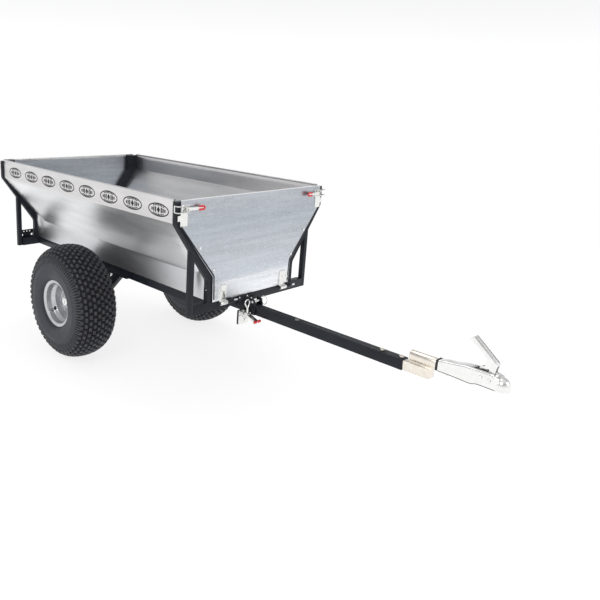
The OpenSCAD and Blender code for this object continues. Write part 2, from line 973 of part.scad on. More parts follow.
tip_cheek_line = [
  [-6, -6], [6, -6], [14, -1], [52, -14], [52, -4.7], [11, 10.2], [10, 18], [-3, 18], [-6, 6]
];
tip_web_line = [[11, 10.2], [52, -4.7], [51.2, -7], [10.2, 7.9]];
tip_tongue_line = [[51.2, -7], [60, -10.2], [60.8, -7.9], [52, -4.7]];

module tip_latch_base() {
  color(zinc) placed() difference() {
    union() {
      span(tip_base_x - tip_base_thick, tip_base_x, tip_base_left, tip_base_right,
        tip_base_low, tip_base_high);
      for (side = [-1, 1])
        span(tip_base_x, tip_pivot_x + 6,
          tip_y + side * (tip_cheek + tip_ear_gap) - tip_plate / 2,
          tip_y + side * (tip_cheek + tip_ear_gap) + tip_plate / 2,
          tip_pivot_z - 8, tip_pivot_z + 8);
      rod_x(tip_base_x, tip_base_x + 4, tip_y, tip_hex_z, tip_hex_radius);
    }
    rod_y(tip_y - 20, tip_y + 20, tip_pivot_x, tip_pivot_z, 3 + running_gap);
  }
}

module lever_tip() {
  color(zinc) placed() difference() {
    union() {
      from_pivot(-tip_cheek, -tip_cheek + tip_plate, tip_cheek_line);
      from_pivot(tip_cheek - tip_plate, tip_cheek, tip_cheek_line);
      from_pivot(-tip_cheek, tip_cheek, tip_web_line);
      from_pivot(-tip_cheek, tip_cheek, tip_tongue_line);
      rod_y(tip_y - tip_cheek - 4, tip_y + tip_cheek + 4, tip_pivot_x, tip_pivot_z, 3);
    }
    rod_y(tip_y - 20, tip_y + 20, tip_link_x, tip_link_z, 3 + running_gap);
  }
}

module grip_tip() {
  color(red) placed() difference() {
    rod_y(tip_y - tip_grip_half, tip_y + tip_grip_half, tip_pivot_x + 60, tip_pivot_z - 8.5,
      tip_grip_radius);
    from_pivot(-tip_cheek, tip_cheek, tip_tongue_line);
  }
}

module loop_tip() {
  bow = tip_loop_reach - tip_wire - tip_loop_radius;
  neck = bow - 22;
  inset = 2;
  lean = atan((tip_loop_radius - inset) / (bow - neck));
  side_length = sqrt(pow(tip_loop_radius - inset, 2) + pow(bow - neck, 2));
  color(zinc) placed() translate([tip_link_x, tip_y, tip_link_z]) rotate([0, -tip_loop_lean, 0]) {
    translate([0, 0, bow]) rotate([90, 0, 90])
      rotate_extrude(angle = 180) translate([tip_loop_radius, 0]) circle(r = tip_wire);
    for (side = [-1, 1])
      translate([0, side * inset, neck]) rotate([-side * lean, 0, 0])
        cylinder(r = tip_wire, h = side_length);
    cylinder(r = tip_wire + 1.5, h = neck + 3);
    rod_y(-tip_cheek + tip_plate + 0.5, tip_cheek - tip_plate - 0.5, 0, 0, 6);
    rod_y(-tip_cheek - 0.3, tip_cheek + 0.3, 0, 0, 3);
  }
}

// ---- swivel ----
web_half = 8;

module swivel_block() {
  half = block_size / 2;
  color(zinc) placed() difference() {
    union() {
      span(block_rear, block_front, -half, half, bar_middle - half, bar_middle + half);
      span(housing_rear, block_front, -web_half, web_half, bar_middle + half - 1, swivel_height);
      rod_x(housing_rear, housing_front, 0, swivel_height, housing_radius);
      for (x = clamp_places) {
        rod_z(bar_bottom - 7, drawbar_top + 7, x, 0, clamp_radius);
        rod_z(drawbar_top, drawbar_top + 7, x, 0, clamp_radius + 4);
        rod_z(bar_bottom - 7, bar_bottom, x, 0, clamp_radius + 4);
      }
    }
    span(block_rear - 1, block_front - 8, -half + block_wall, -clamp_hole - 1,
      bar_middle - half + block_wall, bar_middle + half - block_wall);
    span(block_rear - 1, block_front - 8, clamp_hole + 1, half - block_wall,
      bar_middle - half + block_wall, bar_middle + half - block_wall);
    rod_x(housing_rear - 1, housing_front + 1, 0, swivel_height, shaft_radius + running_gap);
  }
}

// ---- coupler ----
shell_side = [
  [coupler_rear, swivel_height - 17], [coupler_rear + 124, swivel_height - 18],
  [coupler_rear + 151, swivel_height - 11], [ball_x, swivel_height - 12],
  [ball_x, ball_z + 28], [ball_x - 29, swivel_height + 37],
  [coupler_rear + 112, swivel_height + 36], [coupler_rear + 39, swivel_height + 26],
  [coupler_rear, swivel_height + 20]
];
shell_plan = [
  [coupler_rear, -20], [coupler_rear + 39, -20], [ball_x - 60, -27], [ball_x, -27],
  [ball_x, 27], [ball_x - 60, 27], [coupler_rear + 39, 20], [coupler_rear, 20]
];
core_side = [
  [coupler_rear + 46, swivel_height - 30], [ball_x - 24, swivel_height - 30],
  [ball_x - 24, ball_z + 26], [ball_x - 29, swivel_height + 34],
  [coupler_rear + 112, swivel_height + 33], [coupler_rear + 46, swivel_height + 24]
];
core_plan = [
  [coupler_rear + 46, -17.5], [ball_x - 60, -24], [ball_x - 24, -24],
  [ball_x - 24, 24], [ball_x - 60, 24], [coupler_rear + 46, 17.5]
];

module in_plan(z0, z1, points) {
  translate([0, 0, z0]) linear_extrude(z1 - z0) polygon(points);
}

slot_half = 14;
catch_half = 8;

module coupler_shell() {
  low = swivel_height - 40;
  high = swivel_height + 60;
  color(zinc) placed() difference() {
    union() {
      intersection() {
        along(-40, 40, shell_side);
        in_plan(low, high, shell_plan);
      }
      translate([ball_x, 0, ball_z]) sphere(r = dome_radius);
      rod_z(swivel_height - 12, ball_z, ball_x, 0, dome_radius);
      rod_x(housing_rear + 4, coupler_rear + 1, 0, swivel_height, shaft_radius);
      rod_z(swivel_height - 28, swivel_height, coupler_rear + 39, 0, 5);
    }
    intersection() {
      along(-40, 40, core_side);
      in_plan(low, high, core_plan);
    }
    translate([ball_x, 0, ball_z]) sphere(r = socket_radius);
    rod_z(low, ball_z, ball_x, 0, socket_radius);
    span(ball_x - dome_radius - 1, nose_x + 1, -dome_radius - 1, dome_radius + 1,
      low, swivel_height - 12);
    span(cam_x - 66, cam_x + 11.5, -slot_half, slot_half, ball_z, high);
    rod_y(-40, 40, cam_x, cam_z, pivot_radius + running_gap);
    rod_y(-40, 40, jaw_x, jaw_z, pivot_radius + running_gap);
  }
}

module coupler_rivets() {
  color(zinc) placed() {
    along(-catch_half, catch_half, [
      [cam_x + 12, ball_z + 33.5], [cam_x + 12, ball_z + 39], [cam_x + 16, ball_z + 39],
      [cam_x + 23, ball_z + 34], [cam_x + 23, ball_z + 30.8]
    ]);
    for (spot = [[cam_x, cam_z], [jaw_x, jaw_z]]) {
      rod_y(-30, 30, spot[0], spot[1], pivot_radius);
      rod_y(27.2, 31, spot[0], spot[1], pivot_radius + 3);
      rod_y(-31, -27.2, spot[0], spot[1], pivot_radius + 3);
    }
  }
}

cheek_line = [
  [cam_x - 9, cam_z - 6], [cam_x + 7, cam_z - 6], [cam_x + 9, cam_z + 4],
  [cam_x + 10, cam_z + 24], [cam_x + 16.5, cam_z + 51], [cam_x + 14.5, cam_z + 57],
  [cam_x - 70.5, cam_z + 127.5], [cam_x - 86.5, cam_z + 115], [cam_x - 55.5, cam_z + 97],
  [cam_x - 20.5, cam_z + 67], [cam_x - 22.5, cam_z + 41], [cam_x - 39.5, cam_z + 31],
  [cam_x - 39.5, cam_z + 26], [cam_x - 9, cam_z + 33]
];
handle_line = [
  [cam_x + 16.5, cam_z + 51], [cam_x + 14.5, cam_z + 57], [cam_x - 70.5, cam_z + 127.5],
  [cam_x - 86.5, cam_z + 115], [cam_x - 85, cam_z + 112.5], [cam_x - 70.6, cam_z + 123.8],
  [cam_x + 12.2, cam_z + 55], [cam_x + 13.7, cam_z + 50.5]
];
handle_half = 12;

module coupler_handle() {
  color(zinc) placed() difference() {
    union() {
      for (side = [0, 1])
        flip_y(side == 1) along(handle_half - 2.5, handle_half, cheek_line);
      along(-handle_half, handle_half, handle_line);
    }
    rod_y(-40, 40, cam_x, cam_z, pivot_radius + running_gap);
  }
}

jaw_line = [
  [jaw_x - 6, jaw_z + 5], [jaw_x + 7, jaw_z + 3], [jaw_x + 30, jaw_z - 22],
  [jaw_x + 31, jaw_z - 33], [jaw_x + 22, jaw_z - 33], [jaw_x - 6, jaw_z - 5]
];

module coupler_jaw() {
  color(zinc) placed() difference() {
    union() {
      along(-5, 5, jaw_line);
      rod_y(-6, 6, jaw_x, jaw_z, 7.5);
    }
    rod_y(-40, 40, jaw_x, jaw_z, pivot_radius + running_gap);
  }
}

// ---- one line per node ----
frame_rails();
front_crossbeam();
rear_crossbeam();
floor_bearers();
rib_front_left();
rib_front_right();
rib_rear_left();
rib_rear_right();
front_posts();
rear_posts();
side_sheet_left();
side_sheet_right();
floor_sheet();
light_plates();
axle_struts();
stub_axles();
pivot_tube();
hinge_barrels();
tip_catch();
frame_bolts();
front_gate_panel();
front_gate_hinges();
front_latch_bases();
rear_gate_panel();
rear_gate_hinges();
rear_latch_bases();
lever_front_left();
grip_front_left();
loop_front_left();
lever_front_right();
grip_front_right();
loop_front_right();
lever_rear_left();
grip_rear_left();
loop_rear_left();
lever_rear_right();
grip_rear_right();
loop_rear_right();
tyre_left();
rim_left();
hub_left();
hub_cap_left();
valve_left();
tyre_right();
rim_right();
hub_right();
hub_cap_right();
valve_right();
drawbar_tube();
drawbar_pivot();
tip_bracket();
saddle_pin();
tip_latch_base();
lever_tip();
grip_tip();
loop_tip();
swivel_block();
coupler_shell();
coupler_handle();
coupler_jaw();
coupler_rivets();
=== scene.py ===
"""Looks of the two-wheeled tipping trailer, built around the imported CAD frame."""
import json
import math
import random

import bmesh
import bpy
from mathutils import Matrix, Vector


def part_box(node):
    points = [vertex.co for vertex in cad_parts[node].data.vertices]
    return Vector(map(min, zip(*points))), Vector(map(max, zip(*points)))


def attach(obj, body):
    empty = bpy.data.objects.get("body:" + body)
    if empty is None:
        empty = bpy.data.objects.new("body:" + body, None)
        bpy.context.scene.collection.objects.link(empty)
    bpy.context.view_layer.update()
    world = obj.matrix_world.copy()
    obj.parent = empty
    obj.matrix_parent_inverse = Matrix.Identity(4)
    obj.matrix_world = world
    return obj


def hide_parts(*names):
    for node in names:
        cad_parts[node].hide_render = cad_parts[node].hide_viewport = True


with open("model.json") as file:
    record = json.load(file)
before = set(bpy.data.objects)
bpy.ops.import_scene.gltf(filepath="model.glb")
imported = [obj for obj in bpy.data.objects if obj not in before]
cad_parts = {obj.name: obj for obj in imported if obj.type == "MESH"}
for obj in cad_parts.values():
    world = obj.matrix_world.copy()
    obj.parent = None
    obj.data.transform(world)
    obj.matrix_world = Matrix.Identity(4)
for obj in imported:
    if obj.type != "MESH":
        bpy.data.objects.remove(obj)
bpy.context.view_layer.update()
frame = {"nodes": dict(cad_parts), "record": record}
NODES = frame["nodes"]
RNG = random.Random(7)

# Places below are in mm, with x from the middle of the tub, y from the trailer's middle
# plane and z from the ground.
TUB_LOW, TUB_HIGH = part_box("floor_sheet")
MIDDLE = (TUB_LOW.x + TUB_HIGH.x) / 2


def mm(x, y, z):
    """A place in mm from the middle of the tub, as a place in the frame."""
    return Vector((MIDDLE + x / 1000, y / 1000, z / 1000))


# ---------------------------------------------------------------- camera
def camera():
    """A view from the front right; its place is in metres."""
    azimuth, pitch, roll = (math.radians(a) for a in (45.81, 14.45, 2.60))
    side = Vector((math.cos(azimuth), math.sin(azimuth), 0))
    ahead = Vector((-math.sin(azimuth) * math.cos(pitch),
                    math.cos(azimuth) * math.cos(pitch), -math.sin(pitch)))
    up = side.cross(ahead)
    turned_side = side * math.cos(roll) + up * math.sin(roll)
    turned_up = up * math.cos(roll) - side * math.sin(roll)
    data = bpy.data.cameras.new("camera")
    data.lens, data.sensor_width = 37.92, 36
    data.shift_x, data.shift_y = 0.1436, -0.0757
    data.clip_start, data.clip_end = 0.05, 200
    cam = bpy.data.objects.new("camera", data)
    bpy.context.scene.collection.objects.link(cam)
    cam.matrix_world = Matrix((turned_side, turned_up, -ahead)).transposed().to_4x4()
    cam.location = (1.96865, -1.9839, 1.3067)
    bpy.context.scene.camera = cam


# ---------------------------------------------------------------- materials
class Surface:
    """A material whose Principled shader is reached through small helpers."""

    def __init__(self, name, **sockets):
        self.material = bpy.data.materials.new(name)
        self.material.use_nodes = True
        self.tree = self.material.node_tree
        self.shader = self.tree.nodes["Principled BSDF"]
        for socket, value in sockets.items():
            self.shader.inputs[socket.replace("_", " ")].default_value = value
        self.place = self.node("ShaderNodeTexCoord").outputs["Object"]

    def node(self, kind, **props):
        made = self.tree.nodes.new(kind)
        for key, value in props.items():
            setattr(made, key, value)
        return made

    def link(self, a, b):
        self.tree.links.new(a, b)

    def stretched(self, stretch):
        made = self.node("ShaderNodeMapping")
        made.inputs["Scale"].default_value = stretch
        self.link(self.place, made.inputs["Vector"])
        return made.outputs["Vector"]

    def noise(self, scale, detail=4, rough=0.55, stretch=(1, 1, 1)):
        made = self.node("ShaderNodeTexNoise")
        made.inputs["Scale"].default_value = scale
        made.inputs["Detail"].default_value = detail
        made.inputs["Roughness"].default_value = rough
        self.link(self.stretched(stretch), made.inputs["Vector"])
        return made.outputs["Fac"]

    def cells(self, scale, output="Color", stretch=(1, 1, 1)):
        made = self.node("ShaderNodeTexVoronoi")
        made.inputs["Scale"].default_value = scale
        self.link(self.stretched(stretch), made.inputs["Vector"])
        if output != "Color":
            return made.outputs[output]
        split = self.node("ShaderNodeSeparateColor")
        self.link(made.outputs["Color"], split.inputs["Color"])
        return split.outputs["Red"]

    def ramp(self, source, *stops):
        made = self.node("ShaderNodeValToRGB")
        bar = made.color_ramp
        while len(bar.elements) < len(stops):
            bar.elements.new(0.5)
        for element, (place, colour) in zip(bar.elements, stops):
            element.position = place
            element.color = colour if len(colour) == 4 else (*colour, 1)
        self.link(source, made.inputs["Fac"])
        return made.outputs["Color"]

    def between(self, source, low, high, start=0.0, stop=1.0):
        made = self.node("ShaderNodeMapRange")
        for socket, value in (("From Min", start), ("From Max", stop),
                              ("To Min", low), ("To Max", high)):
            made.inputs[socket].default_value = value
        self.link(source, made.inputs["Value"])
        return made.outputs["Result"]

    def maths(self, kind, a, b):
        made = self.node("ShaderNodeMath", operation=kind)
        for spot, value in enumerate((a, b)):
            if isinstance(value, (int, float)):
                made.inputs[spot].default_value = value
            else:
                self.link(value, made.inputs[spot])
        return made.outputs["Value"]

    def mix(self, fac, a, b, kind="MIX"):
        made = self.node("ShaderNodeMix", data_type="RGBA", blend_type=kind)
        for spot, value in ((0, fac), (6, a), (7, b)):
            if isinstance(value, (int, float)):
                made.inputs[spot].default_value = value
            elif isinstance(value, tuple):
                made.inputs[spot].default_value = (*value, 1)
            else:
                self.link(value, made.inputs[spot])
        return made.outputs[2]

    def height(self):
        split = self.node("ShaderNodeSeparateXYZ")
        self.link(self.place, split.inputs["Vector"])
        return split.outputs["Z"]

    def edges(self, radius=0.0015):
        """Bright where an edge is sharper than the radius, dark on flat faces: a mask that places
        painted edge highlights.
        """
        bevel = self.node("ShaderNodeBevel", samples=4)
        bevel.inputs["Radius"].default_value = radius
        flat = self.node("ShaderNodeNewGeometry")
        dot = self.node("ShaderNodeVectorMath", operation="DOT_PRODUCT")
        self.link(bevel.outputs["Normal"], dot.inputs[0])
        self.link(flat.outputs["Normal"], dot.inputs[1])
        return self.between(dot.outputs["Value"], 1.0, 0.0, 0.86, 0.99)

    def bump(self, source, strength, depth):
        made = self.node("ShaderNodeBump")
        made.inputs["Strength"].default_value = strength
        made.inputs["Distance"].default_value = depth
        self.link(source, made.inputs["Height"])
        previous = self.shader.inputs["Normal"].links
        if previous:
            self.link(previous[0].from_socket, made.inputs["Normal"])
        self.link(made.outputs["Normal"], self.shader.inputs["Normal"])

    def set(self, socket, source):
        self.link(source, self.shader.inputs[socket])


def galvanised(name, tone, spangle, streaks, rough, contrast, scratches, light_and_shade):
    """Zinc-coated sheet: fine crystals, rolling streaks, faint scratches, slow clouds and painted
    light and shade in bands by height.
    """
    s = Surface(name, Metallic=1.0)
    crystals = s.cells(spangle)
    fine = s.noise(420, 3, 0.6)
    cloud = s.noise(2.6, 3, 0.5)
    rolled = s.noise(3, 3, 0.55, stretch=streaks)
    scratch = s.noise(5, 3, 0.6, stretch=tuple(4 * k for k in streaks))
    low, high = (tuple(c * k for c in tone) for k in (1 - contrast, 1 + contrast))
    colour = s.ramp(crystals, (0.0, low), (1.0, high))
    dull, bright = tuple(c * 0.84 for c in tone), tuple(min(c * 1.25, 0.97) for c in tone)
    colour = s.mix(s.between(cloud, 0.0, 0.30, 0.35, 0.65), colour, dull)
    colour = s.mix(s.between(rolled, 0.0, 0.5, 0.40, 0.68), colour, bright)
    colour = s.mix(s.between(scratch, 0.0, scratches, 0.60, 0.70), colour, (0.88, 0.89, 0.90))
    # Painted light and shade: the colour is multiplied by bands set by height.
    colour = s.mix(1.0, colour, s.ramp(s.height(), *light_and_shade), "MULTIPLY")
    s.set("Base Color", colour)
    grain = s.maths("ADD", s.between(crystals, -0.02, 0.02),
                    s.between(rolled, -0.02, 0.02, 0.3, 0.7))
    s.set("Roughness", s.maths("ADD", grain, s.between(fine, rough - 0.03, rough + 0.04, 0.3, 0.7)))
    s.bump(crystals, 0.02 + contrast * 0.3, 0.0001)
    return s.material


def painted_black():
    """Satin powder coat with orange peel, dust, and lighter edges that are partly rubbed paint and
    partly a painted highlight.
    """
    s = Surface("frame_black", Metallic=0.0, Specular_IOR_Level=0.24)
    peel = s.noise(700, 2, 0.5)
    dust = s.noise(9, 5, 0.65)
    speck = s.noise(160, 3, 0.7)
    colour = s.ramp(dust, (0.35, (0.008, 0.010, 0.015)), (0.75, (0.017, 0.020, 0.028)))
    colour = s.mix(s.between(speck, 0.0, 0.35, 0.66, 0.80), colour, (0.060, 0.060, 0.062))
    # Lighter sharp edges: partly rubbed paint, partly a painted highlight where the edges catch the
    # light.
    rubbed_and_highlit = s.maths("MULTIPLY", s.edges(), s.between(s.noise(55, 4, 0.7), 0.1, 1.0, 0.42, 0.60))
    s.set("Base Color", s.mix(s.maths("MULTIPLY", rubbed_and_highlit, 0.6), colour, (0.15, 0.15, 0.155)))
    s.set("Roughness", s.between(dust, 0.34, 0.52, 0.3, 0.7))
    s.bump(peel, 0.12, 0.0003)
    return s.material


def zinc(name, low, high, rough, spots=0.0):
    """Electroplated zinc: faint colour clouds, fine scratches, dull spots, and lighter edges that
    are partly rubbed plating and partly a painted highlight.
    """
    s = Surface(name, Metallic=1.0)
    cloud = s.noise(45, 4, 0.6)
    fine = s.noise(900, 3, 0.6)
    scratch = s.noise(90, 3, 0.5, stretch=(1, 6, 6))
    colour = s.ramp(cloud, (0.3, low), (0.7, high))
    colour = s.mix(s.between(scratch, 0.0, 0.45, 0.62, 0.72), colour, (0.92, 0.92, 0.90))
    # Brighter sharp edges: a painted highlight where the edges catch the light, partly rubbed
    # plating too.
    rubbed_and_highlit = s.maths("MULTIPLY", s.edges(0.001), 0.35)
    colour = s.mix(rubbed_and_highlit, colour, (0.95, 0.95, 0.93))
    if spots:
        spotted = s.between(s.noise(70, 2, 0.5), 0.0, spots, 0.6, 0.75)
        colour = s.mix(spotted, colour, (0.30, 0.29, 0.28))
    s.set("Base Color", colour)
    s.set("Roughness", s.between(cloud, rough - 0.05, rough + 0.09, 0.3, 0.7))
    s.bump(fine, 0.10, 0.0002)
    return s.material


def rubber(name, tone, dusty, rough):
    """Matt rubber with brown dust in patches."""
    s = Surface(name, Metallic=0.0, Specular_IOR_Level=0.34)
    cloud = s.noise(14, 5, 0.65)
    fine = s.noise(520, 3, 0.6)
    colour = s.ramp(cloud, (0.32, tone), (0.72, tuple(c * 1.35 for c in tone)))
    grime = s.between(s.noise(95, 4, 0.7), 0.0, dusty, 0.50, 0.72)
    s.set("Base Color", s.mix(grime, colour, (0.135, 0.118, 0.100)))
    s.set("Roughness", s.between(cloud, rough - 0.08, rough + 0.12, 0.3, 0.7))
    s.bump(fine, 0.25, 0.0004)
    return s.material


def wheel_paint():
    """Silver paint with metal flake and road dirt."""
    s = Surface("wheel_silver", Metallic=0.85, Coat_Weight=0.25)
    flake = s.cells(1600)
    cloud = s.noise(18, 4, 0.6)
    colour = s.ramp(flake, (0.0, (0.50, 0.51, 0.53)), (1.0, (0.66, 0.67, 0.69)))
    dirt = s.between(s.noise(40, 5, 0.7), 0.0, 0.35, 0.52, 0.75)
    s.set("Base Color", s.mix(dirt, colour, (0.36, 0.345, 0.33)))
    s.set("Roughness", s.between(cloud, 0.24, 0.38, 0.3, 0.7))
    s.bump(s.noise(650, 2, 0.5), 0.08, 0.0002)
    return s.material


def plastic_red():
    """Soft red plastic, a little scuffed."""
    s = Surface("red_grip", Metallic=0.0, Coat_Weight=0.2)
    cloud = s.noise(60, 4, 0.6)
    colour = s.ramp(cloud, (0.3, (0.60, 0.022, 0.030)), (0.7, (0.74, 0.045, 0.050)))
    scuffs = s.between(s.noise(200, 3, 0.7), 0.0, 0.3, 0.62, 0.8)
    s.set("Base Color", s.mix(scuffs, colour, (0.42, 0.05, 0.05)))
    s.set("Roughness", s.between(cloud, 0.30, 0.46, 0.3, 0.7))
    s.bump(s.noise(500, 2, 0.5), 0.10, 0.0003)
    return s.material


def ink():
    """Printed black of the badges."""
    s = Surface("decal_ink", Metallic=0.0, Specular_IOR_Level=0.2)
    cloud = s.noise(240, 4, 0.7)
    s.set("Base Color", s.ramp(cloud, (0.3, (0.010, 0.010, 0.012)), (0.8, (0.028, 0.028, 0.031))))
    s.set("Roughness", s.between(cloud, 0.38, 0.55, 0.3, 0.7))
    s.bump(cloud, 0.05, 0.0001)
    return s.material


# Painted light and shade on the sheets: colour multipliers by height above the ground, in metres,
# that darken or brighten bands of the sheet as reflections would.
SIDE_LIGHT_AND_SHADE = ((0.46, (0.76, 0.76, 0.77)), (0.55, (0.84, 0.84, 0.85)), (0.585, (1, 1, 1)),
              (0.79, (1, 1, 1)), (0.815, (0.86, 0.835, 0.83)), (0.91, (0.88, 0.86, 0.855)))
GATE_LIGHT_AND_SHADE = ((0.46, (1.60, 1.55, 1.50)), (0.535, (1.46, 1.42, 1.38)),
              (0.55, (1.14, 1.14, 1.14)), (0.66, (0.98, 0.98, 0.98)),
              (0.80, (0.86, 0.87, 0.88)), (0.90, (0.92, 0.92, 0.92)))
# Streaks run along the sheet: x on the sides, y across the gates.
SHEET = galvanised("galvanised_side", (0.78, 0.79, 0.80), spangle=150, streaks=(1, 6, 6),
                   rough=0.33, contrast=0.02, scratches=0.05, light_and_shade=SIDE_LIGHT_AND_SHADE)
GATE = galvanised("galvanised_gate", (0.50, 0.53, 0.57), spangle=190, streaks=(8, 1, 20),
                  rough=0.36, contrast=0.11, scratches=0.55, light_and_shade=GATE_LIGHT_AND_SHADE)
BLACK = painted_black()
ZINC = zinc("zinc_plate", (0.78, 0.78, 0.76), (0.88, 0.88, 0.86), 0.25, 0.08)
BRIGHT = zinc("bright_zinc", (0.84, 0.84, 0.83), (0.93, 0.93, 0.92), 0.17, 0.06)
CREAM = zinc("yellow_zinc", (0.80, 0.74, 0.65), (0.90, 0.85, 0.77), 0.22, 0.05)
# Dull steel for the axle, also used on the coupler handle as painted shadow.
STEEL_AND_FOLD_SHADE = zinc("axle_steel", (0.45, 0.45, 0.46), (0.62, 0.62, 0.62), 0.34, 0.4)
WHEEL = wheel_paint()
TREAD = rubber("tyre_tread", (0.036, 0.038, 0.045), 0.50, 0.46)
WALL = rubber("tyre_wall", (0.026, 0.029, 0.039), 0.12, 0.46)
# Near-black rubber for the carcass between the knobs: painted shade in the grooves.
GROOVE_SHADE = rubber("tyre_groove_shade", (0.008, 0.008, 0.011), 0.20, 0.70)
# Dark valve rubber, also used on the coupler for its dark ring and as painted shade.
VALVE_RUBBER_AND_SHADE = rubber("valve_rubber", (0.016, 0.016, 0.018), 0.2, 0.45)
RED = plastic_red()
INK = ink()


# ---------------------------------------------------------------- mesh tools
class Shape:
    """Collects closed shells, then makes one object of them."""

    def __init__(self):
        self.points, self.faces, self.tags, self.tag = [], [], [], 0

    def add(self, points, faces):
        start = len(self.points)
        self.points += [Vector(p) for p in points]
        self.faces += [tuple(start + i for i in f) for f in faces]
        self.tags += [self.tag] * len(faces)

    def loft(self, rings, capped=True, closed=False):
        """Joins rings of equally many points; closed joins the last ring to the first."""
        n, faces = len(rings[0]), []
        for k in range(len(rings) if closed else len(rings) - 1):
            a, b = k * n, (k + 1) % len(rings) * n
            faces += [(a + i, a + (i + 1) % n, b + (i + 1) % n, b + i) for i in range(n)]
        if capped and not closed:
            faces += [tuple(reversed(range(n))), tuple((len(rings) - 1) * n + i for i in range(n))]
        self.add([p for ring in rings for p in ring], faces)

    def revolve(self, profile, steps, place):
        """Turns a closed profile; place(c, s, r, h) puts a radius and height at cos, sin."""
        rings = []
        for k in range(steps):
            a = math.tau * k / steps
            rings.append([place(math.cos(a), math.sin(a), r, h) for r, h in profile])
        self.loft(rings, closed=True)

    def lathe(self, profile, centre, side, steps):
        """Turns a closed profile of (radius, outboard) in mm round the wheel axis."""
        self.revolve(profile, steps, lambda c, s, r, out:
                     centre + Vector((r * c, side * out, r * s)) / 1000)

    def tube(self, path, radius, sides=12, closed=False):
        rings, count = [], len(path)
        normal = None
        for k, p in enumerate(path):
            before = path[(k - 1) % count] if closed or k else p
            after = path[(k + 1) % count] if closed or k < count - 1 else p
            along = (after - before).normalized()
            if normal is None:
                normal = along.orthogonal().normalized()
            normal = (normal - along * normal.dot(along)).normalized()
            other = along.cross(normal)
            r = radius[k] if isinstance(radius, list) else radius
            rings.append([p + (normal * math.cos(t) + other * math.sin(t)) * r
                          for t in (math.tau * i / sides for i in range(sides))])
        self.loft(rings, closed=closed)

    def build(self, name, body, materials, replaces=(), crease=38):
        mesh = bpy.data.meshes.new(name)
        mesh.from_pydata([tuple(p) for p in self.points], [], self.faces)
        made = bmesh.new()
        made.from_mesh(mesh)
        bmesh.ops.recalc_face_normals(made, faces=made.faces)
        made.to_mesh(mesh)
        made.free()
        for material in materials if isinstance(materials, (list, tuple)) else [materials]:
            mesh.materials.append(material)
        for polygon, tag in zip(mesh.polygons, self.tags):
            polygon.material_index = tag
            polygon.use_smooth = True
        mesh.set_sharp_from_angle(angle=math.radians(crease))
        obj = bpy.data.objects.new(name, mesh)
        bpy.context.scene.collection.objects.link(obj)
        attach(obj, body)
        if replaces:
            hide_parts(*replaces)
        return obj


def rounded(corners, radii, steps=5):
    """A polyline in a plane with its inner corners turned into arcs; points are 2-D."""
    out = []
    n = len(corners)
    for i, c in enumerate(corners):
        r = radii[i] if isinstance(radii, (list, tuple)) else radii
        if not r or i in (0, n - 1):
            out.append(Vector(c))
            continue
        c = Vector(c)
        a, b = (Vector(corners[i - 1]) - c), (Vector(corners[i + 1]) - c)
        half = a.angle(b) / 2
        reach = min(r / math.tan(half), 0.49 * a.length, 0.49 * b.length)
        start, end = c + a.normalized() * reach, c + b.normalized() * reach
        for k in range(steps + 1):
            t = k / steps
            out.append(start.lerp(c, t).lerp(c.lerp(end, t), t))
    return out


def thickened(line, thick):
    """A closed outline round an open 2-D line: the line, then its offset to the left, back."""
    back = []
    for i, p in enumerate(line):
        before, after = line[max(i - 1, 0)], line[min(i + 1, len(line) - 1)]
        along = (after - before).normalized()
        back.append(p + Vector((-along.y, along.x)) * thick)
    return list(line) + back[::-1]


def soften(node, material, width=0.9, segments=2):
    """A CAD node keeps its shape and gets a finish and slightly rounded edges."""
    obj = NODES[node]
    obj.data.materials.clear()
    obj.data.materials.append(material)
    weld = obj.modifiers.new("weld", "WELD")
    weld.merge_threshold = 0.00001
    bevel = obj.modifiers.new("bevel", "BEVEL")
    bevel.width, bevel.segments = width / 1000, segments
    bevel.limit_method, bevel.angle_limit = "ANGLE", math.radians(40)
    bevel.use_clamp_overlap = True
    bevel.harden_normals = False
    obj.data.shade_smooth()
    obj.data.set_sharp_from_angle(angle=math.radians(35))


def paint_rail_bolts():
    """The bolts along the rails are painted over; those in the catch stay zinc."""
    mesh = NODES["frame_bolts"].data
    mesh.materials.append(BLACK)
    place = NODES["frame_bolts"].matrix_world
    for polygon in mesh.polygons:
        if abs((place @ polygon.center).y) > 0.2:
            polygon.material_index = 1


# ---------------------------------------------------------------- wheels
# Outlines are (radius, distance outboard of the wheel's mid plane) in mm.
TYRE_LINE = [(103.5, 74), (103.5, 84), (106, 87.5), (113, 88.2), (117.5, 92), (121, 97),
             (128, 100.5), (140, 103.4), (158, 105.6), (170, 106.4), (174, 107.2), (178, 107.2),
             (181, 106.4), (190, 106), (200, 104.6), (212, 101.2), (224, 96), (236, 88.5),
             (246, 79), (254, 67), (260, 53), (264.5, 36), (267, 18), (267.8, 0)]
# Radii in mm where the tread starts and where the painted shade of the grooves starts.
TREAD_FROM, GROOVE_SHADE_FROM = 200, 206
KNOB_ROWS = (-88, -74, -57, -38, -19, 0, 19, 38, 57, 74, 88)
KNOBS_ROUND = 52
KNOB_TOP = 279.3
KNOB_LEAN = 0.12


def on_carcass(out):
    """Radius and outward normal of the tread surface at a distance from the mid plane."""
    tread = [p for p in TYRE_LINE if p[0] > TREAD_FROM]
    a = abs(out)
    for (r0, z0), (r1, z1) in zip(tread, tread[1:]):
        if z1 <= a <= z0:
            t = (a - z0) / (z1 - z0)
            normal = Vector((z0 - z1, r1 - r0)).normalized()
            return r0 + (r1 - r0) * t, Vector((normal.x, normal.y * (1 if out >= 0 else -1)))
    raise ValueError(out)


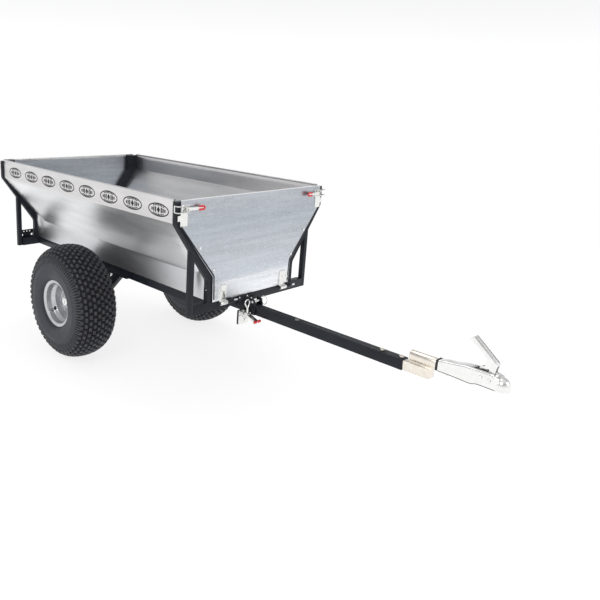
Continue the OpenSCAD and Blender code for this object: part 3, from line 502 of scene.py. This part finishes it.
def knob(shape, centre, side, angle, out, long, wide, tall, dished, lean=0.0):
    """One tread block: long round the tyre, wide across it, standing tall off the carcass."""
    r, n = on_carcass(out)
    across = Vector((-n.y, n.x)) if n.x > 0 else Vector((n.y, -n.x))

    def at(u, v, w):
        rr = r + n.x * w + across.x * v
        oo = out + n.y * w + across.y * v
        a = angle + (u + lean * v) / r
        return centre + Vector((rr * math.cos(a), side * oo, rr * math.sin(a))) / 1000

    def ring(du, dv, w):
        return [at(sx * (long / 2 - du), sy * (wide / 2 - dv), w)
                for sx, sy in ((-1, -1), (1, -1), (1, 1), (-1, 1))]

    rings = [ring(-1.2, -1.2, -3), ring(-1.2, -1.2, 0.5),
             ring(0, 0, tall - 1.5), ring(1.1, 1.1, tall)]
    if dished:
        rings += [ring(long * 0.3, wide * 0.3, tall),
                  ring(long * 0.34, wide * 0.34, tall - 2.2)]
    shape.loft(rings)


def tyre(side, name):
    """The carcass, staggered rows of knobs and the lugs on both shoulders."""
    low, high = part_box("tyre_" + name)
    centre = (low + high) / 2
    shape = Shape()
    profile = TYRE_LINE + [(r, -out) for r, out in TYRE_LINE[-2::-1]]
    shape.lathe(profile, centre, side, 144)
    # Carcass faces out on the tread take the near-black groove rubber as painted shade between the
    # knobs; the rest take the sidewall rubber.
    carcass = [2 if profile[f % len(profile)][0] > GROOVE_SHADE_FROM else 1
               for f in range(len(shape.faces))]
    for row, out in enumerate(KNOB_ROWS):
        for k in range(KNOBS_ROUND):
            a = math.tau * (k + 0.5 * (row % 2)) / KNOBS_ROUND
            edge = abs(out) > 80
            tall = (8.5 if edge else 10.5) if abs(out) > 60 else 11.4
            long = 18 if row % 2 else 16
            wide = 12 if row % 2 else 13
            tall = min(tall, KNOB_TOP - on_carcass(out)[0])
            knob(shape, centre, side, a + RNG.uniform(-0.004, 0.004), out,
                 long + RNG.uniform(-0.8, 0.8), wide + RNG.uniform(-0.8, 0.8), tall,
                 (k + row) % 2 == 0, KNOB_LEAN if row % 2 else -KNOB_LEAN)
    for edge in (-1, 1):
        for k in range(2 * KNOBS_ROUND):
            a = math.tau * (k + 0.25) / (2 * KNOBS_ROUND)
            lug(shape, centre, side, a, edge, k % 2 == 0)
    shape.tags[:len(carcass)] = carcass
    shape.build("tyre_tread_" + name, "wheel_" + name, [TREAD, WALL, GROOVE_SHADE],
                ["tyre_" + name], crease=30)


def lug(shape, centre, side, angle, edge, long):
    """A shoulder rib that runs down the sidewall from the tread."""
    radii = (236, 224, 207, 187 if long else 196)
    widths, heights = (9.0, 9.0, 8.0, 6.0), (1.5, 5.5, 3.4, 0.4)
    rings = []
    for r, w, h in zip(radii, widths, heights):
        base = next(z0 + (z1 - z0) * (r - r0) / (r1 - r0)
                    for (r0, z0), (r1, z1) in zip(TYRE_LINE, TYRE_LINE[1:])
                    if r0 <= r <= r1 and r1 > 188)
        top = min(base + h, 107.3 if r < 215 else 106)
        ring = []
        for u, out in ((-w / 2 - 1, base - 4), (w / 2 + 1, base - 4), (w / 2 - 0.4, top - 0.8),
                       (w / 2 - 1.6, top), (-w / 2 + 1.6, top), (-w / 2 + 0.4, top - 0.8)):
            a = angle + u / r
            spot = Vector((r * math.cos(a), side * edge * out, r * math.sin(a)))
            ring.append(centre + spot / 1000)
        rings.append(ring)
    shape.loft(rings)


RIM_LINE = [(115, 88.6), (115, 90), (114, 90.9), (112, 91), (109.5, 90.2), (107.5, 88.2),
            (105, 87.2), (102, 87.0), (100.2, 86.0), (99.3, 84), (99, 80), (99, 61), (98, 57.5),
            (95, 54), (88, 47.5), (85, 44.5), (84, 41), (84, 10.5), (83, 7.5), (80, 6.2),
            (60, 6), (57, 6.6), (48, 13.2), (45, 14), (28.2, 14), (28.2, 10), (44, 10),
            (46, 9.2), (57, 2.2), (60, 2), (84, 2), (84, -44), (85, -47), (99, -58),
            (99, -91), (115, -91), (115, -88.2), (102.2, -88), (102.2, -59), (87, -45),
            (87, 45), (102.2, 59), (102.2, 85.5), (103.5, 87.6), (106, 88.3)]
CAP_LINE = [(0.2, 36.2), (22.4, 36.2), (22.4, 39), (21.6, 42), (19.5, 44.3), (16, 45.6),
            (11, 45.9), (8.5, 45.2), (7.5, 44.6), (0.2, 44.3)]
VALVE_SEAT, VALVE_TURN, VALVE_TILT = (91.5, 51), math.radians(215), math.radians(43)
# The valve's outlines are (radius, height above its seat).
STEM_LINE = [(0.2, -1), (4.2, -1), (4.2, 0.4), (8.6, 0.4), (8.8, 1.4), (7.8, 2.6), (5.4, 3.6),
             (4.6, 5), (4.2, 9), (3.9, 16), (3.3, 17.6), (3.3, 18), (0.2, 18)]
TIP_LINE = [(0.2, 18), (2.9, 18), (3.3, 18.6), (3.3, 25), (2.9, 26.2), (2.2, 27), (0.2, 27)]


def wheel(side, name):
    """One wheel's tyre, rim, hub cap and valve."""
    tyre(side, name)
    low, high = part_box("rim_" + name)
    centre = (low + high) / 2
    body = "wheel_" + name
    rim = Shape()
    rim.lathe(RIM_LINE, centre, side, 128)
    rim.build("rim_dish_" + name, body, WHEEL, ["rim_" + name], crease=50)
    cap = Shape()
    cap.lathe(CAP_LINE, centre, side, 64)
    cap.build("hub_dome_" + name, body, BRIGHT, ["hub_cap_" + name])
    valve(centre, side, name)


def valve(centre, side, name):
    """The valve stands on the sloping side of the rim's well and leans to the hub."""
    c, d = math.cos(VALVE_TURN), math.sin(VALVE_TURN)
    away, across, out = Vector((c, 0, d)), Vector((-d, 0, c)), Vector((0, side, 0))
    foot = centre + (away * VALVE_SEAT[0] + out * VALVE_SEAT[1]) / 1000
    axis = out * math.cos(VALVE_TILT) - away * math.sin(VALVE_TILT)
    other = axis.cross(across)
    stem = Shape()
    for tag, line in ((0, STEM_LINE), (1, TIP_LINE)):
        stem.tag = tag
        stem.revolve(line, 24, lambda c, s, r, h:
                     foot + ((across * c + other * s) * r + axis * h) / 1000)
    stem.build("valve_stem_" + name, "wheel_" + name, [VALVE_RUBBER_AND_SHADE, BRIGHT],
               ["valve_" + name])


# ---------------------------------------------------------------- tub
SIDE_END = 708.5
RIM_Z, BAND_Z, SLOPE_Z, FLOOR_Z = 905, 809, 565, 456
TOP_Y, FOOT_Y = 443.5, 250
BEND = 12
WALL_THICK = 1.6
# Towards each end the wall's lower bend rises and moves outwards.
END_LIFT, END_FLARE, END_FLAT, END_RUN = 34, 15, 14, 62


def smoothstep(t):
    t = min(max(t, 0), 1)
    return t * t * (3 - 2 * t)


def side_section(x):
    """Outer line (y, z) of a side wall at x, from the rim down, rolled hem included."""
    near = 1 - smoothstep((SIDE_END - abs(x) - END_FLAT) / END_RUN)
    lift, out = END_LIFT * near, END_FLARE * near
    lean = (math.sin(x / 205 + 0.6) + 0.6 * math.sin(x / 97)) * (1 - near)
    hem = [(TOP_Y - 2, RIM_Z - 7), (TOP_Y - 7.2, RIM_Z - 6.5), (TOP_Y - 8, RIM_Z - 1.5),
           (TOP_Y - 5, RIM_Z - 0.1), (TOP_Y + 0.6, RIM_Z - 0.2), (TOP_Y + 2, RIM_Z - 2.5),
           (TOP_Y + 1.6, RIM_Z - 7.5), (TOP_Y, RIM_Z - 10)]
    hem = rounded(hem, 1.6, 3)
    foot_y = FOOT_Y + out
    line = rounded([(TOP_Y, RIM_Z - 10), (TOP_Y, BAND_Z), (foot_y, SLOPE_Z + lift),
                    (FOOT_Y, FLOOR_Z + 3)], [0, BEND, BEND + 6, 0], 6)
    # Points along the slope let the panel bow a little.
    slope_top, slope_low = line[7], line[8]
    middle = []
    for k in range(1, 8):
        t = k / 8
        p = slope_top.lerp(slope_low, t)
        bow = math.sin(math.pi * t) * lean * 1.3
        middle.append(p + Vector((0.78, -0.62)) * bow)
    band_top, band_low = line[0], line[1]
    band = [band_top.lerp(band_low, k / 4) for k in range(1, 4)]
    low_top, low_end = line[14], line[15]
    low = [low_top.lerp(low_end, k / 4) for k in range(1, 4)]
    return hem[:-1] + [band_top] + band + line[1:8] + middle + line[8:15] + low + [low_end]


def side_sheet(side, name):
    """A side wall, with more stations near the ends where its section changes."""
    shape = Shape()
    stations = [-SIDE_END + d for d in (0, 8, 16, 24, 33, 42, 52, 62, 74, 88)]
    stations += [-SIDE_END + 88 + (2 * SIDE_END - 176) * k / 32 for k in range(1, 32)]
    stations += [-s for s in reversed(stations[:10])]
    rings = []
    for x in stations:
        outline = thickened(side_section(x), -WALL_THICK)
        rings.append([mm(x, side * p.x, p.y) for p in outline])
    shape.loft(rings)
    shape.build("side_wall_" + name, "bed", SHEET,
                ["side_sheet_" + name], crease=50)


# ---------------------------------------------------------------- gates
GATE_EDGE = [(903, 430.5), (805, 433.5), (569, 246), (458, 242)]
GATE_OUT, GATE_IN = 736.5, 734.5
GATE_FOOT, GATE_RIM, GATE_ROLL = 458, 903, 895
FOLD_Z, FOLD_FOOT, FOLD_RISE = 544, 470, 1.3


def gate_half(z):
    """Half width of a gate's sheet at a height."""
    for (z1, y1), (z0, y0) in zip(GATE_EDGE, GATE_EDGE[1:]):
        if z0 <= z <= z1:
            return y0 + (y1 - y0) * (z - z0) / (z1 - z0)
    raise ValueError(z)


def gate_bow(z, y):
    """How far the gate's sheet stands off its flat, in mm: a fold low down and slow waves."""
    if z > FOLD_Z:
        fold = FOLD_RISE * (1 - smoothstep((z - FOLD_Z) / 60))
    else:
        fold = FOLD_RISE * smoothstep((z - FOLD_FOOT) / (FOLD_Z - FOLD_FOOT))
    fade = smoothstep((gate_half(z) - abs(y)) / 40) * smoothstep((GATE_ROLL - z) / 40)
    wave = (0.35 * math.sin(y / 83 + 0.8) * math.sin(z / 61 + 0.4)
            + 0.25 * math.sin(y / 147 - z / 95))
    return (fold + wave * smoothstep((z - 480) / 60)) * fade


def gate(end, name):
    """A gate's bowed sheet, its rolled top edge in bright zinc as a painted highlight, and black
    strips at its sides as painted shadow.
    """
    rows = [GATE_FOOT, 459.2, 466, 480, 496, 512, 526, 534, 539, 542, FOLD_Z, 546, 549, 554,
            562, 569]
    rows += [569 + 236 * k / 16 for k in range(1, 17)]
    rows += [825, 845, 865, 882, GATE_ROLL, 901, GATE_RIM]
    edge = [0.88, 0.94, 0.98, 0.996, 1]
    spread = [-t for t in reversed(edge)] + [k / 12 for k in range(-10, 11)] + edge
    shape = Shape()
    rings = []
    for z in rows:
        half = gate_half(z)
        front, back = [], []
        for t in spread:
            y = half * t
            dull = 0.5 if abs(t) == 1 or z in (GATE_FOOT, GATE_RIM) else 0.0
            bow = gate_bow(z, y)
            front.append(mm(end * (GATE_OUT + bow - dull), y, z))
            back.append(mm(end * (GATE_IN + bow), y, z))
        rings.append(front + back[::-1])
    shape.loft(rings)
    around = 2 * len(spread)
    # The top rows take bright zinc instead of the gate's sheet: a painted highlight along the top
    # edge.
    for f in range((rows.index(GATE_ROLL) + 1) * around, len(shape.tags)):
        shape.tags[f] = 2
    # The top edge is rolled inwards between the ribs, in bright zinc as a painted highlight.
    shape.tag = 2
    roll = rounded([(GATE_IN + 0.4, 890.4), (GATE_IN + 0.4, 902.4), (725.8, 902.4), (725.8, 891),
                    (727.6, 891), (727.6, 900.4), (732.6, 900.4), (732.6, 890.4)], 2.2, 4)
    shape.loft([[mm(end * x, y, z) for x, z in roll] for y in (-371.5, -150, 150, 371.5)])
    # A black strip inside the sloping edges: painted shadow of the groove along the folded edge.
    shape.tag = 1
    for side in (-1, 1):
        shadow_strip = rounded([(433.5, 796), (246 + 1.5, 569), (243, 468)], [0, 14, 0], 6)
        rings = []
        for i, c in enumerate(shadow_strip):
            along = (shadow_strip[min(i + 1, len(shadow_strip) - 1)] - shadow_strip[max(i - 1, 0)]).normalized()
            inward = Vector((along.y, -along.x))
            near, far = c + inward * 4.0, c + inward * 10.5
            rings.append([mm(end * x, side * q.x, q.y) for q, x in
                          ((near, 736.2), (far, 736.2), (far, 737.3), (near, 737.3))])
        shape.loft(rings)
    shape.build("gate_sheet_" + name, name + "_gate", [GATE, BLACK, BRIGHT],
                [name + "_gate_panel"], crease=28)


# ---------------------------------------------------------------- frame ribs
RIB_SECTION = [(0, 712.5), (1.2, 709.7), (4, 708.6), (71, 708.6), (73.8, 709.7), (75, 712.5),
               (75, 730.5), (74, 732.6), (72, 733.4), (69.5, 733.4), (68, 731.7), (7, 731.7),
               (5.5, 733.4), (3, 733.4), (1, 732.6), (0, 730.5)]
RIB_HOLE_X, RIB_HOLE_Z, RIB_HOLE_RADIUS = 721, 512, 8.5


def rib(end, side, name):
    """A corner rib along the tub's section, with a shallow recess down its end face."""
    line = rounded([(451, 897), (451, 806), (271, 555), (271, 460)], [0, 34, 34, 0], 9)
    shape = Shape()
    shape.loft([[mm(end * x, side * (p.x - u), p.y) for u, x in RIB_SECTION] for p in line])
    made = shape.build("rib_bar_" + name, "bed", BLACK, ["rib_" + name],
                       crease=40)
    # The wiring hole in the outer side, and the bolt inside it.
    cutter = Shape()
    cutter.tube([mm(end * RIB_HOLE_X, side * y, RIB_HOLE_Z) for y in (258, 280)],
                RIB_HOLE_RADIUS / 1000, 32)
    tool = cutter.build("cutter", "bed", BLACK)
    cut = made.modifiers.new("cut", "BOOLEAN")
    cut.object, cut.solver = tool, "EXACT"
    with bpy.context.temp_override(object=made, active_object=made, selected_objects=[made]):
        bpy.ops.object.modifier_apply(modifier="cut")
    bpy.data.objects.remove(tool)
    bolt = Shape()
    dome = [(0.01, 0.2), (4.6, 0.2), (4.6, 2.0), (3.6, 4.2), (1.8, 5.2), (0.01, 5.4)]
    bolt.revolve(dome, 24, lambda c, s, r, out:
                 mm(end * (RIB_HOLE_X + r * c), side * (257.5 + out * 2.2), RIB_HOLE_Z + r * s))
    bolt.build("rib_bolt_" + name, "bed", BRIGHT)


# ---------------------------------------------------------------- badges
BADGES, BADGE_FIRST, BADGE_STEP, BADGE_Z = 8, -577.8, 170.5, 849
BADGE_WIDE, BADGE_TALL, BADGE_RING = 129, 54, 5.4


def badge(shape, side, x):
    """A plain oval badge: a ring, a diamond and short bars, lying on the upright band."""
    face, proud = 443.4, 443.68
    z, wide, tall = BADGE_Z, BADGE_WIDE, BADGE_TALL

    def plate(points):
        shape.loft([[mm(x + u, side * y, z + v) for u, v in points] for y in (face, proud)])

    ring = ((0, face), (0, proud), (BADGE_RING, proud), (BADGE_RING, face))
    shape.revolve(ring, 48, lambda c, s, w, y:
                  mm(x + (wide / 2 - w) * c, side * y, z + (tall / 2 - w) * s))
    plate([(0, 14), (-10, 0), (0, -14), (10, 0)])
    for spot in (-1, 1):
        for k, reach in enumerate((15, 26, 37)):
            high = 10.5 - 2.2 * k
            u = spot * (reach + 3)
            plate([(u - 3.8, high), (u - 3.8, -high), (u + 3.8, -high), (u + 3.8, high)])
        for k in range(-3, 4):
            v = spot * (18.6 - 0.45 * k * k)
            left, right = 10 * k - 3.6, 10 * k + 3.6
            plate([(left, v + 2.6), (left, v - 2.6), (right, v - 2.6), (right, v + 2.6)])


def badges(side, name):
    shape = Shape()
    for k in range(BADGES):
        badge(shape, side, BADGE_FIRST + BADGE_STEP * k)
    shape.build("band_badges_" + name, "bed", INK)


# ---------------------------------------------------------------- latches
PULL_X, PULL_Y, PULL_Z, PULL_BEND = 752.5, 330, 869, 6.3


def pull(end, side, name):
    """The latch grip: a soft U-shaped ring, open towards the lever."""
    shape = Shape()
    legs = (350.6, 345, 337)
    bend = [Vector((PULL_Y - PULL_BEND * math.cos(a), PULL_BEND * math.sin(a)))
            for a in (math.pi * k / 12 - math.pi / 2 for k in range(13))]
    path = [Vector((y, -PULL_BEND)) for y in legs] + bend
    path += [Vector((y, PULL_BEND)) for y in reversed(legs)]
    shape.tube([mm(end * PULL_X, side * p.x, PULL_Z + p.y) for p in path], 0.0042, 14)
    shape.build("pull_" + name, "latch_lever_" + name, RED, ["grip_" + name])


# ---------------------------------------------------------------- coupler
SHELL_REAR, SLOT_REAR, SLOT_FRONT, SHELL_FRONT = 1619.6, 1741, 1814, 1836
SHELL_THICK = 2.6
BALL_X, BALL_Z = 1837.5, 432
NOSE_RADIUS, NOSE_INNER = 28.9, 25.4
SWIVEL_Z = 430


def shell_size(x):
    """Half width, bottom and top of the coupler's pressed shell at x."""
    wide = [(1619.5, 19.6), (1658.5, 19.8), (1777.5, 26.6), (1838, 26.6)]
    low = [(1619.5, 413.4), (1743.5, 412.4), (1770.5, 419.2), (1838, 418.3)]
    top = [(1619.5, 449.5), (1658.5, 455.5), (1731.5, 465.5), (1800, 466.5), (1815, 465),
           (1838, 459)]

    def at(line):
        for (x0, v0), (x1, v1) in zip(line, line[1:]):
            if x <= x1:
                return v0 + (v1 - v0) * smoothstep((x - x0) / (x1 - x0))
        return line[-1][1]

    return at(wide), at(low), at(top)


def half_section(x, slot=False):
    """Half of the shell's outline at x, from its lower edge to the middle or the slot."""
    wide, low, top = shell_size(x)
    inner = 13.6 if slot else 0
    return rounded([(wide + 0.3, low), (wide, low + 6), (wide - 0.6, top), (inner, top)],
                   [0, 2, 8, 0], 5)


def both_halves(half):
    """A half outline joined to its mirror image."""
    return half + [Vector((-p.x, p.y)) for p in half[-2::-1]]


def coupler():
    """The pressed shell with its slot and nose, the shaft, a dark ring at its rear, painted shadow
    under its edges, painted shade in its slot, and pins.
    """
    shape = Shape()
    for start, stop, steps, slotted in ((SHELL_REAR, SLOT_REAR, 14, False),
                                        (SLOT_REAR, SLOT_FRONT, 10, True),
                                        (SLOT_FRONT, SHELL_FRONT, 4, False)):
        stations = [start + k * (stop - start) / steps for k in range(steps + 1)]
        if slotted:
            for side in (-1, 1):
                shape.loft([[mm(x, side * p.x, p.y)
                             for p in thickened(half_section(x, True), SHELL_THICK)]
                            for x in stations])
        else:
            shape.loft([[mm(x, p.x, p.y)
                         for p in thickened(both_halves(half_section(x)), SHELL_THICK)]
                        for x in stations])
    # The round nose over the ball, with a rolled lip.
    nose_line = [(25.4, 418.2), (29.4, 418.2), (29.4, 421.5), (28.6, 423.4), (28.8, 432)]
    turns = [math.pi / 2 * k / 12 for k in range(1, 12)]
    nose_line += [(NOSE_RADIUS * math.cos(a), BALL_Z + NOSE_RADIUS * math.sin(a)) for a in turns]
    nose_line += [(0.3, 460.9), (0.3, 457.4)]
    nose_line += [(NOSE_INNER * math.cos(a), BALL_Z + NOSE_INNER * math.sin(a))
                  for a in reversed(turns)]
    nose_line += [(NOSE_INNER, BALL_Z)]
    shape.revolve(nose_line, 64, lambda c, s, r, z:
                  mm(BALL_X + min(r, NOSE_RADIUS) * c, r * s, z))
    # The round shaft into the swivel housing and its collar.
    for x0, x1, r in ((1600, 1622, 0.0148), (1617.7, 1619.3, 0.0182)):
        shape.tube([mm(x0, 0, SWIVEL_Z), mm(x1, 0, SWIVEL_Z)], r, 40)
    # The dark ring behind the shell, dark strips under it as painted shadow and a dark block in its
    # slot as painted shade.
    shape.tag = 1
    rings = []
    for x, grow in ((1618.2, 0.2), (1619.6, 0.7), (1626, 0.7), (1627, 0.1)):
        half = [p + Vector((grow, grow * (1 if p.y > SWIVEL_Z else -1)))
                for p in half_section(max(x, SHELL_REAR))]
        rings.append([mm(x, p.x, p.y) for p in both_halves(half)])
    shape.loft(rings)
    # Dark strips under the shell's lower edges: painted shadow.
    for side in (-1, 1):
        rings = []
        for x in [1628 + k * 204 / 24 for k in range(25)]:
            wide, low, _ = shell_size(x)
            rings.append([mm(x, side * (wide + u), low + v) for u, v in
                          ((-0.5, -1.2), (0.9, -1.2), (0.9, 0.9), (-0.5, 0.9))])
        shape.loft(rings)
    # A dark block in the slot: painted shade inside the slot.
    shape.loft([[mm(x, y, z) for y, z in ((-13.4, 452), (13.4, 452), (13.4, 461), (-13.4, 461))]
                for x in (1741.5, 1786)])
    shape.tag = 0
    # Four small pins under the shell.
    for x, low in ((1660, 402.5), (1746, 405)):
        for y in (-12, 12):
            shape.tube([mm(x, y, low), mm(x, y, low + 2), mm(x, y, 422)],
                       [0.0036, 0.0044, 0.0044], 20)
    shape.build("coupler_body", "coupler", [BRIGHT, VALVE_RUBBER_AND_SHADE], ["coupler_shell"],
                crease=34)


def handle_ribs():
    """Raised bars across the back of the coupler's handle, and darker strips along its side edges
    as painted shadow of the folds.
    """
    shape = Shape()
    start, stop = Vector((1818, 500)), Vector((1733, 570.5))
    along = (stop - start).normalized()
    out = Vector((-along.y, along.x)) * -1
    for k in range(16):
        c = start + (stop - start) * (0.10 + 0.052 * k)
        ring = []
        for u, w in ((-1.3, -0.6), (1.3, -0.6), (0.8, 0.9), (-0.8, 0.9)):
            q = c + along * u + out * w
            ring.append((q.x, q.y))
        shape.loft([[mm(x, y, z) for x, z in ring] for y in (-8.5, -7.8, 7.8, 8.5)])
    # Darker strips along both sides: painted shadow where the cheeks fold from the ribbed face.
    shape.tag = 1
    for y in (-12.15, 11.0):
        rings = []
        for c in (start + (stop - start) * 0.02, start + (stop - start) * 0.98):
            high, low = c + out * 0.4, c - out * 2.2
            rings.append([mm(q.x, v, q.y) for q, v in
                          ((high, y), (high, y + 1.15), (low, y + 1.15), (low, y))])
        shape.loft(rings)
    shape.build("handle_ribs", "coupler_handle", [BRIGHT, STEEL_AND_FOLD_SHADE])


EYELET_X = 996.5
TIP_GRIP_X, TIP_GRIP_Z = 815, 351.5


def drawbar_eyelet():
    """A bright zinc lip round the edge of the hole through the drawbar."""
    shape = Shape()
    lip = ((6.05, 404), (8.6, 405.6), (8.4, 406.35), (6.4, 406.45), (6.05, 405.8))
    shape.revolve(lip, 32, lambda c, s, r, z: mm(EYELET_X + r * c, r * s, z))
    shape.build("drawbar_eyelet", "drawbar", BRIGHT)


def tip_pull():
    """The red cross grip of the tip latch, in two halves on its thin bar."""
    shape = Shape()
    for low, high in ((-66, -49), (-41, -24)):
        shape.tube([mm(TIP_GRIP_X, y, TIP_GRIP_Z) for y in (low, low + 1.2, high - 1.2, high)],
                   [0.0052, 0.0062, 0.0062, 0.0052], 24)
    shape.tag = 1
    shape.tube([mm(TIP_GRIP_X, y, TIP_GRIP_Z) for y in (-69, -68.4, -21.6, -21)],
               [0.0026, 0.0034, 0.0034, 0.0026], 20)
    shape.build("tip_pull", "tip_lever", [RED, ZINC], ["grip_tip"])


# ---------------------------------------------------------------- scene
FLOOR_REACH = 30  # metres from the middle


def studio():
    """Pale floor, soft sky and three round lights."""
    far = FLOOR_REACH
    mesh = bpy.data.meshes.new("floor")
    mesh.from_pydata([(-far, -far, 0), (far, -far, 0), (far, far, 0), (-far, far, 0)],
                     [], [(0, 1, 2, 3)])
    ground = bpy.data.objects.new("floor", mesh)
    bpy.context.scene.collection.objects.link(ground)
    paper = bpy.data.materials.new("paper")
    paper.use_nodes = True
    shader = paper.node_tree.nodes["Principled BSDF"]
    shader.inputs["Base Color"].default_value = (0.25, 0.25, 0.25, 1)
    shader.inputs["Roughness"].default_value = 0.9
    shader.inputs["Emission Color"].default_value = (1, 1, 1, 1)
    shader.inputs["Emission Strength"].default_value = 0.80
    mesh.materials.append(paper)

    world = bpy.data.worlds.new("studio")
    bpy.context.scene.world = world
    world.use_nodes = True
    tree = world.node_tree
    back = tree.nodes["Background"]
    where = tree.nodes.new("ShaderNodeTexCoord")
    split = tree.nodes.new("ShaderNodeSeparateXYZ")
    tree.links.new(where.outputs["Generated"], split.inputs["Vector"])
    ramp = tree.nodes.new("ShaderNodeValToRGB")
    stops = ((0.0, 1.0), (0.08, 1.0), (0.30, 0.72), (0.62, 0.42), (1.0, 0.85))
    while len(ramp.color_ramp.elements) < len(stops):
        ramp.color_ramp.elements.new(0.5)
    for element, (place, v) in zip(ramp.color_ramp.elements, stops):
        element.position, element.color = place, (v, v, v * 1.01, 1)
    tree.links.new(split.outputs["Z"], ramp.inputs["Fac"])
    tree.links.new(ramp.outputs["Color"], back.inputs["Color"])
    back.inputs["Strength"].default_value = 1.0

    for name, place, aim, size, power in (
            ("key", (1.8, -3.6, 4.2), (-0.3, 0, 0.5), 2.6, 55),
            ("fill", (4.5, 1.5, 2.6), (0.0, 0, 0.5), 2.4, 25),
            ("top", (-1.2, 0.6, 4.8), (-0.5, 0, 0.5), 3.2, 45)):
        data = bpy.data.lights.new(name, "AREA")
        data.shape, data.size, data.energy = "DISK", size, power
        lamp = bpy.data.objects.new(name, data)
        bpy.context.scene.collection.objects.link(lamp)
        lamp.location = place
        lamp.rotation_euler = (Vector(aim) - Vector(place)).to_track_quat("-Z", "Y").to_euler()
    bpy.context.scene.view_settings.view_transform = "Standard"


camera()
# Finish of each material slot, and of the nodes that differ from their slot.
FINISH = {"galvanised_sheet": SHEET, "frame_black": BLACK, "zinc_plate": ZINC,
          "wheel_silver": WHEEL, "axle_steel": STEEL_AND_FOLD_SHADE, "tyre_rubber": TREAD,
          "valve_rubber": VALVE_RUBBER_AND_SHADE, "red_grip": RED}
SPECIAL = {"swivel_block": CREAM, "front_gate_panel": GATE, "rear_gate_panel": GATE,
           "coupler_shell": BRIGHT, "coupler_handle": BRIGHT, "coupler_jaw": BRIGHT,
           "coupler_rivets": BRIGHT, "loop_tip": BRIGHT}
for part in frame["record"]["subparts"]:
    soften(part["node"], SPECIAL.get(part["node"], FINISH[part["material_slot"]]))
for side, name in ((1, "left"), (-1, "right")):
    wheel(side, name)
    side_sheet(side, name)
    badges(side, name)
for end, name in ((1, "front"), (-1, "rear")):
    gate(end, name)
    for side, hand in ((1, "left"), (-1, "right")):
        rib(end, side, name + "_" + hand)
        pull(end, side, name + "_" + hand)
coupler()
handle_ribs()
tip_pull()
drawbar_eyelet()
paint_rail_bolts()
studio()
